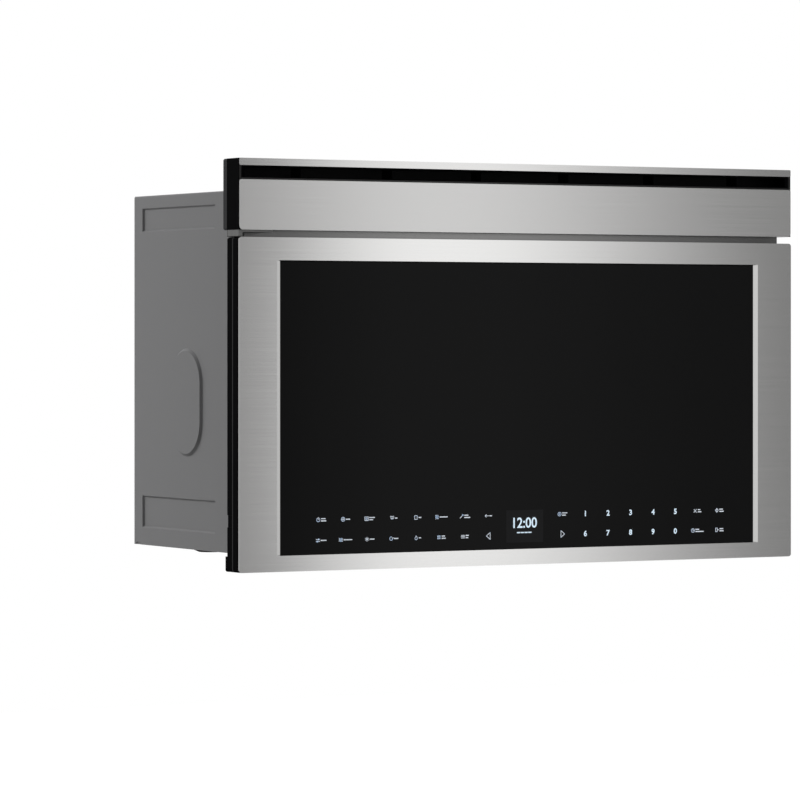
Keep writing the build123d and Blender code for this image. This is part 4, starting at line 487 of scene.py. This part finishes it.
cover_low, cover_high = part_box("door_cover")
strap_low, strap_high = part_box("lower_hinge")
cheek_outer, cheek_inner = cover_low.x + 0.05 * mm, cover_low.x + 2.0 * mm
cheek_front, cheek_back = cover_low.y + 0.05 * mm, cover_low.y + 11.25 * mm
cheek_round, over_strap = 0.7 * mm, 0.9 * mm
cheek = bmesh.new()
moulding(cheek, [(cheek_front, cheek_outer), (cheek_front, cheek_inner),
                 (cheek_back - cheek_round, cheek_inner), (cheek_back, cheek_inner - cheek_round),
                 (cheek_back, cheek_outer + cheek_round), (cheek_back - cheek_round, cheek_outer)],
         strap_low.z - over_strap, strap_high.z + over_strap, "Z")
keep("hinge_pocket_cheek", cast("hinge_pocket_cheek", cheek, cap_black), "door")

black_zinc = finish("black_zinc", (0.10, 0.10, 0.105), 0.35, (900, 900, 900), metallic=1.0)
skirt_step = 4.5 * mm
cover_back = cover_high.y - skirt_step
cover_pitch, cover_rows = 230 * mm, (28 * mm, 366 * mm)
cover_spots = [(step * cover_pitch, cover_back, row)
               for step in (-1.5, -0.5, 0.5, 1.5) for row in cover_rows]
grow("door_cover_screws", screw_tree, "door", "zinc_sheet", black_zinc, cover_spots,
     Head_radius=3.4 * mm, Head_height=1.0 * mm, Facing=(0.0, 1.0, 0.0))
display_black = finish("display_black", (0.01, 0.012, 0.012), 0.2, (800, 800, 800), bump=0.002)
dress(display_black, "display_module")

# Touch controls, printed on the door glass: two rows of keys along its foot, with digits and
# plain pictograms in pale ink with a faint painted glow, and a clock in a smoked window between
# them. The places and sizes of all marks here are in millimetres.

pale_ink_painted_glow = finish("pale_ink_painted_glow", (0.80, 0.84, 0.90), 0.5, (900, 900, 900), bump=0.0)
glow_ink = finish("glowing_ink", (0.70, 0.84, 0.96), 0.5, (900, 900, 900), bump=0.0)
# The pale ink's faint blue-white emission is a painted glow on plain print, which brightens the
# marks though they are no lamp; the glowing ink of the digits and the clock glows more.
for ink, glow in ((pale_ink_painted_glow, 0.12), (glow_ink, 0.3)):
    ink_shader = ink.node_tree.nodes["Principled BSDF"]
    ink_shader.inputs["Emission Color"].default_value = (0.66, 0.82, 1.0, 1.0)
    ink_shader.inputs["Emission Strength"].default_value = glow
smoked = finish("smoked_window", (0.0140, 0.0140, 0.0146), 0.05, (6, 6, 6), bump=0.0,
                specular=0.03)
ink_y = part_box("door_glass")[0].y - 0.04 * mm
upper_row, lower_row = 58.4, 34.7
key_pitch = 31.87
left_key, right_key = -271.8, 53.3


def print_text(letters, x, z, height, width=1.0):
    """Flat printed figures, centred on x and z, as a mesh that faces the front."""
    swell = 0.3
    words = bpy.data.curves.new("figures", "FONT")
    words.body = letters
    words.size = height * mm
    words.offset = swell * mm
    words.resolution_u = 4
    holder = bpy.data.objects.new("figures", words)
    bpy.context.scene.collection.objects.link(holder)
    bpy.context.view_layer.update()
    done = holder.evaluated_get(bpy.context.evaluated_depsgraph_get())
    mesh = bpy.data.meshes.new_from_object(done)
    bpy.data.objects.remove(holder)
    spread = [[vertex.co[axis] for vertex in mesh.vertices] for axis in (0, 1)]
    centre = [(min(values) + max(values)) / 2 for values in spread]
    mesh.transform(Matrix.Translation((x * mm, ink_y, z * mm))
                   @ Matrix.Rotation(math.pi / 2, 4, "X")
                   @ Matrix.Diagonal((width, 1.0, 1.0, 1.0))
                   @ Matrix.Translation((-centre[0], -centre[1], 0)))
    return mesh


def join(name, meshes, material):
    """One mesh out of several, in one finish."""
    whole = bmesh.new()
    for mesh in meshes:
        whole.from_mesh(mesh)
    result = bpy.data.meshes.new(name)
    whole.to_mesh(result)
    whole.free()
    for face in result.polygons:
        face.material_index = 0
    result.materials.clear()
    result.materials.append(material)
    return result


def ribbon(points, x, z, width=0.75):
    """A flat printed line through points about a key's centre at x and z."""
    mesh = bmesh.new()
    for first, last in zip(points, points[1:]):
        start, end = Vector(first), Vector(last)
        along = (end - start).normalized() * width / 2
        across = Vector((-along.y, along.x))
        corners = [start - along - across, end + along - across,
                   end + along + across, start - along + across]
        mesh.faces.new([mesh.verts.new(((x + corner.x) * mm, ink_y, (z + corner.y) * mm))
                        for corner in corners])
    result = bpy.data.meshes.new("ribbon")
    mesh.to_mesh(result)
    mesh.free()
    return result


def arc(radius, x=0.0, z=0.0, start=0, end=360, steps=14):
    """Points on an arc about a key's centre, in degrees from the right."""
    return [(x + radius * math.cos(math.radians(start + (end - start) * i / steps)),
             z + radius * math.sin(math.radians(start + (end - start) * i / steps)))
            for i in range(steps + 1)]


def wave(x, z, length, upright):
    """A short wavy line of two full swings about x and z."""
    swing, quarters = 0.5, 8
    steps = [(length * (i / quarters - 0.5), swing * math.sin(math.pi * i / 2))
             for i in range(quarters + 1)]
    return [(x + across, z + along) if upright else (x + along, z + across)
            for along, across in steps]


# Each sign is its printed lines, as points about the key's centre.
signs = {
    "power": [arc(2.5, start=120, end=420), [(0, 0.4), (0, 3.0)]],
    "fan": [arc(2.7), [(0, -1.5), (0, 1.5)], [(-1.5, 0), (1.5, 0)]],
    "oven": [[(-2.7, -2.5), (2.7, -2.5), (2.7, 2.5), (-2.7, 2.5), (-2.7, -2.5)], arc(1.1)],
    "grill": [[(-2.7, 2.4), (2.7, 2.4)],
              [(-2.4, 0.8), (-1.2, -1.4), (0, 0.8), (1.2, -1.4), (2.4, 0.8)]],
    "bread": [[(-2.0, -2.5), (2.0, -2.5), (2.0, 0.8), (2.5, 1.8), (1.5, 2.6), (-1.5, 2.6),
               (-2.5, 1.8), (-2.0, 0.8), (-2.0, -2.5)]],
    "dry": [wave(x, 0, 5.0, True) for x in (-1.8, 0, 1.8)],
    "probe": [[(-2.4, -2.4), (1.2, 1.2)], arc(0.9, 1.8, 1.8)],
    "back": [[(2.7, 0), (-2.5, 0)], [(-0.7, 1.8), (-2.5, 0), (-0.7, -1.8)]],
    "sliders": [[(-2.7, 1.4), (2.7, 1.4)], [(-2.7, -1.4), (2.7, -1.4)],
                arc(0.8, 1.1, 1.4), arc(0.8, -1.1, -1.4)],
    "waves": [wave(0, z, 5.2, False) for z in (-1.7, 0, 1.7)],
    "flake": [[(-2.3, -1.3), (2.3, 1.3)], [(-2.3, 1.3), (2.3, -1.3)], [(0, -2.7), (0, 2.7)]],
    "again": [arc(2.3, start=60, end=360), [(1.2, 0.9), (2.3, -0.2), (3.2, 1.0)]],
    "drop": [[(0, 2.8), (1.5, 0.5), (1.9, -0.8), (1.2, -2.2), (0, -2.6), (-1.2, -2.2),
              (-1.9, -0.8), (-1.5, 0.5), (0, 2.8)]],
    "tiles": [arc(0.9, x, z, 45, 405, 4) for x in (-1.4, 1.4) for z in (-1.4, 1.4)],
    "list": [[(-2.6, z), (2.6, z)] for z in (-1.8, 0, 1.8)],
    "choose": [arc(2.6), arc(0.7)],
    "cross": [[(-2.0, -2.0), (2.0, 2.0)], [(-2.0, 2.0), (2.0, -2.0)]],
    "start": [[(0, 2.9), (2.5, 0), (0, -2.9), (-2.5, 0), (0, 2.9)], [(0, 1.1), (0, -1.1)]],
    "clock": [arc(2.6), [(0, 1.6), (0, 0), (1.2, 0)]],
    "door": [[(-2.4, -2.6), (0.4, -2.6), (0.4, 2.6), (-2.4, 2.6), (-2.4, -2.6)],
             [(1.2, 0), (2.8, 0)]],
    "left": [[(-2.9, 0), (2.2, 4.0), (2.2, -4.0), (-2.9, 0)]],
    "right": [[(2.9, 0), (-2.2, 4.0), (-2.2, -4.0), (2.9, 0)]],
}
# Each key is its sign and the lengths of the bars printed beside it.
keys = {
    (left_key, upper_row): (("power", 6.0, 6.8), ("fan", 5.6), ("oven", 7.4, 5.0),
                            ("grill", 3.4), ("bread", 3.6), ("dry", 11.0),
                            ("probe", 5.4, 8.0), ("back", 3.6)),
    (left_key, lower_row): (("sliders", 7.6), ("waves", 11.4), ("flake", 6.4), ("again", 5.8),
                            ("drop", 3.0), ("tiles", 4.6, 5.6), ("list", 4.4, 3.6),
                            ("left",)),
    (right_key, upper_row): (("choose", 7.2, 5.2), (), (), (), (), (), ("cross", 3.8, 5.2),
                             ("start", 5.2, 6.4)),
    (right_key, lower_row): (("right",), (), (), (), (), (), ("clock", 5.4, 11.8),
                             ("door", 5.4, 5.8)),
}
sign_size, sign_width, sign_gap = 0.84, 4.6, 1.3
bar_thickness, bar_pitch = 1.2, 2.6
marks = []
for (first_x, row_z), row in keys.items():
    for column, key in enumerate(row):
        if not key:
            continue
        x, bars = first_x + column * key_pitch, key[1:]
        sign_x, size = x, 1.0
        if bars:
            start_x = x - (sign_width + sign_gap + max(bars)) / 2
            sign_x, size = start_x + sign_width / 2, sign_size
        for line in signs[key[0]]:
            marks.append(ribbon([(size * a, size * b) for a, b in line], sign_x, row_z))
        for place, length in enumerate(bars):
            level = bar_pitch * ((len(bars) - 1) / 2 - place)
            bar_x = start_x + sign_width + sign_gap
            ends = [(bar_thickness / 2, level), (length - bar_thickness / 2, level)]
            marks.append(ribbon(ends, bar_x, row_z, bar_thickness))
# The printed marks are in the pale ink with its painted glow.
keep("touch_marks", join("touch_marks", marks, pale_ink_painted_glow), "door")

digit_height, row_digits = 8.8, 5
digits = [print_text(digit, right_key + (1 + place % row_digits) * key_pitch,
                     upper_row if place < row_digits else lower_row, digit_height)
          for place, digit in enumerate("1234567890")]
keep("touch_digits", join("touch_digits", digits, glow_ink), "door")

window_left, window_right, window_low, window_high = -24.3, 26.4, 26.0, 64.3
window_y = ink_y + 0.02 * mm
window = bpy.data.meshes.new("clock_window")
window.from_pydata([(x * mm, window_y, z * mm)
                    for x, z in ((window_left, window_low), (window_right, window_low),
                                 (window_right, window_high), (window_left, window_high))],
                   [], [(0, 1, 2, 3)])
window.materials.append(smoked)
keep("clock_window", window, "door")
clock_x, clock_z, clock_height, clock_narrowing = 1.5, 49.3, 17.0, 0.95
dash_z, dash_pitch, dash_reach, dash_thickness = 37.7, 5.2, 1.6, 1.4
first_dash = -7.6
clock_parts = [print_text("12:00", clock_x, clock_z, clock_height, clock_narrowing)]
clock_parts += [ribbon([(-dash_reach, 0), (dash_reach, 0)], first_dash + step * dash_pitch,
                       dash_z, dash_thickness) for step in range(4)]
keep("clock_figures", join("clock_figures", clock_parts, glow_ink), "door")

# Studio: a pale floor well below the oven, a soft white room, two soft lamps and the camera. Only
# glossy pieces mirror the bright and dark bands on the room's right, which give the brushed
# steel its sheen. To the camera the room and the floor are white.

floor_mesh = bpy.data.meshes.new("studio_floor")
reach = 2.8
floor_z = -0.45
floor_mesh.from_pydata([(-reach, -reach, floor_z), (reach, -reach, floor_z),
                        (reach, reach, floor_z), (-reach, reach, floor_z)], [], [(0, 1, 2, 3)])
floor = bpy.data.objects.new("studio_floor", floor_mesh)
bpy.context.scene.collection.objects.link(floor)
floor_finish = finish("pale_floor", (0.55, 0.55, 0.55), 0.9, (3, 3, 3), shades=(0.99, 1.01),
                      bump=0.0, specular=0.0)
floor_tree = floor_finish.node_tree
floor_shader = floor_tree.nodes["Principled BSDF"]
floor_shader.inputs["Emission Color"].default_value = (1, 1, 1, 1)
seen = part(floor_tree, "ShaderNodeLightPath").outputs["Is Camera Ray"]
floor_lift = 0.8
floor_tree.links.new(times(floor_tree, seen, floor_lift),
                     floor_shader.inputs["Emission Strength"])
floor_mesh.materials.append(floor_finish)

world = bpy.data.worlds.new("studio_room")
bpy.context.scene.world = world
world.use_nodes = True
room = world.node_tree
room.nodes.clear()
toward = part(room, "ShaderNodeTexCoord")
axes = part(room, "ShaderNodeSeparateXYZ", {"Vector": toward.outputs["Generated"]})
front_way = times(room, axes.outputs["Y"], -1.0)
turn = part(room, "ShaderNodeMath", {0: axes.outputs["X"], 1: front_way}, operation="ARCTAN2")
narrow, wide = 20.0, 42.0
share = part(room, "ShaderNodeMapRange",
             {"Value": turn.outputs[0], "From Min": math.radians(narrow),
              "From Max": math.radians(wide)})
walls = part(room, "ShaderNodeValToRGB", {"Fac": share.outputs["Result"]})
walls.color_ramp.interpolation = "EASE"
# Each pair is an angle in degrees from the front towards the right, and the room's brightness.
brightness = ((narrow, 1.2), (26.3, 0.40), (27.4, 0.50), (28.4, 1.35), (29.2, 1.85),
              (30.5, 1.85), (31.5, 1.5), (32.5, 1.02), (33.5, 0.62), (34.5, 0.36),
              (36.0, 0.36), (wide, 1.0))
brightest = 2.0
for index, (angle, level) in enumerate(brightness):
    place = (angle - narrow) / (wide - narrow)
    if index < 2:
        stop = walls.color_ramp.elements[index]
        stop.position = place
    else:
        stop = walls.color_ramp.elements.new(place)
    grey = level / brightest
    stop.color = (grey, grey, grey, 1.0)
path = part(room, "ShaderNodeLightPath")
mirror_light = part(room, "ShaderNodeBackground",
                    {"Color": times(room, walls.outputs["Color"], brightest)})
soft_light = part(room, "ShaderNodeBackground", {"Color": (1, 1, 1, 1), "Strength": 0.12})
white_light = part(room, "ShaderNodeBackground", {"Color": (1, 1, 1, 1), "Strength": 1.0})
lit = part(room, "ShaderNodeMixShader", {"Fac": path.outputs["Is Glossy Ray"],
                                         1: soft_light.outputs[0], 2: mirror_light.outputs[0]})
clear = part(room, "ShaderNodeMath", {0: path.outputs["Is Camera Ray"],
                                      1: path.outputs["Is Transmission Ray"]},
             operation="MAXIMUM")
both = part(room, "ShaderNodeMixShader", {"Fac": clear.outputs[0], 1: lit.outputs[0],
                                          2: white_light.outputs[0]})
part(room, "ShaderNodeOutputWorld", {"Surface": both.outputs[0]})


def soft_lamp(name, place, size, power):
    """A soft square lamp that looks at the oven's middle and isn't seen itself."""
    target = Vector((0, -0.15, 0.24))
    data = bpy.data.lights.new(name, "AREA")
    data.size = size
    data.energy = power
    lamp = bpy.data.objects.new(name, data)
    bpy.context.scene.collection.objects.link(lamp)
    lamp.location = place
    lamp.rotation_euler = (target - Vector(place)).to_track_quat("-Z", "Y").to_euler()
    lamp.visible_camera = False
    lamp.visible_glossy = False


soft_lamp("key_lamp", place=(-2.2, 2.6, 2.4), size=1.2, power=125)
soft_lamp("fill_lamp", place=(3.3, -3.1, 2.2), size=1.6, power=170)

camera_data = bpy.data.cameras.new("camera")
camera_data.lens = 191.26
camera_data.sensor_width = 36
camera_data.shift_y = -0.0810
camera_data.clip_end = 100
camera = bpy.data.objects.new("camera", camera_data)
bpy.context.scene.collection.objects.link(camera)
camera.location = (-2.5821, -4.6340, 0.2709)
camera.rotation_euler = (math.radians(90), 0, math.radians(-29.238))
bpy.context.scene.camera = camera
bpy.context.scene.view_settings.view_transform = "Standard"
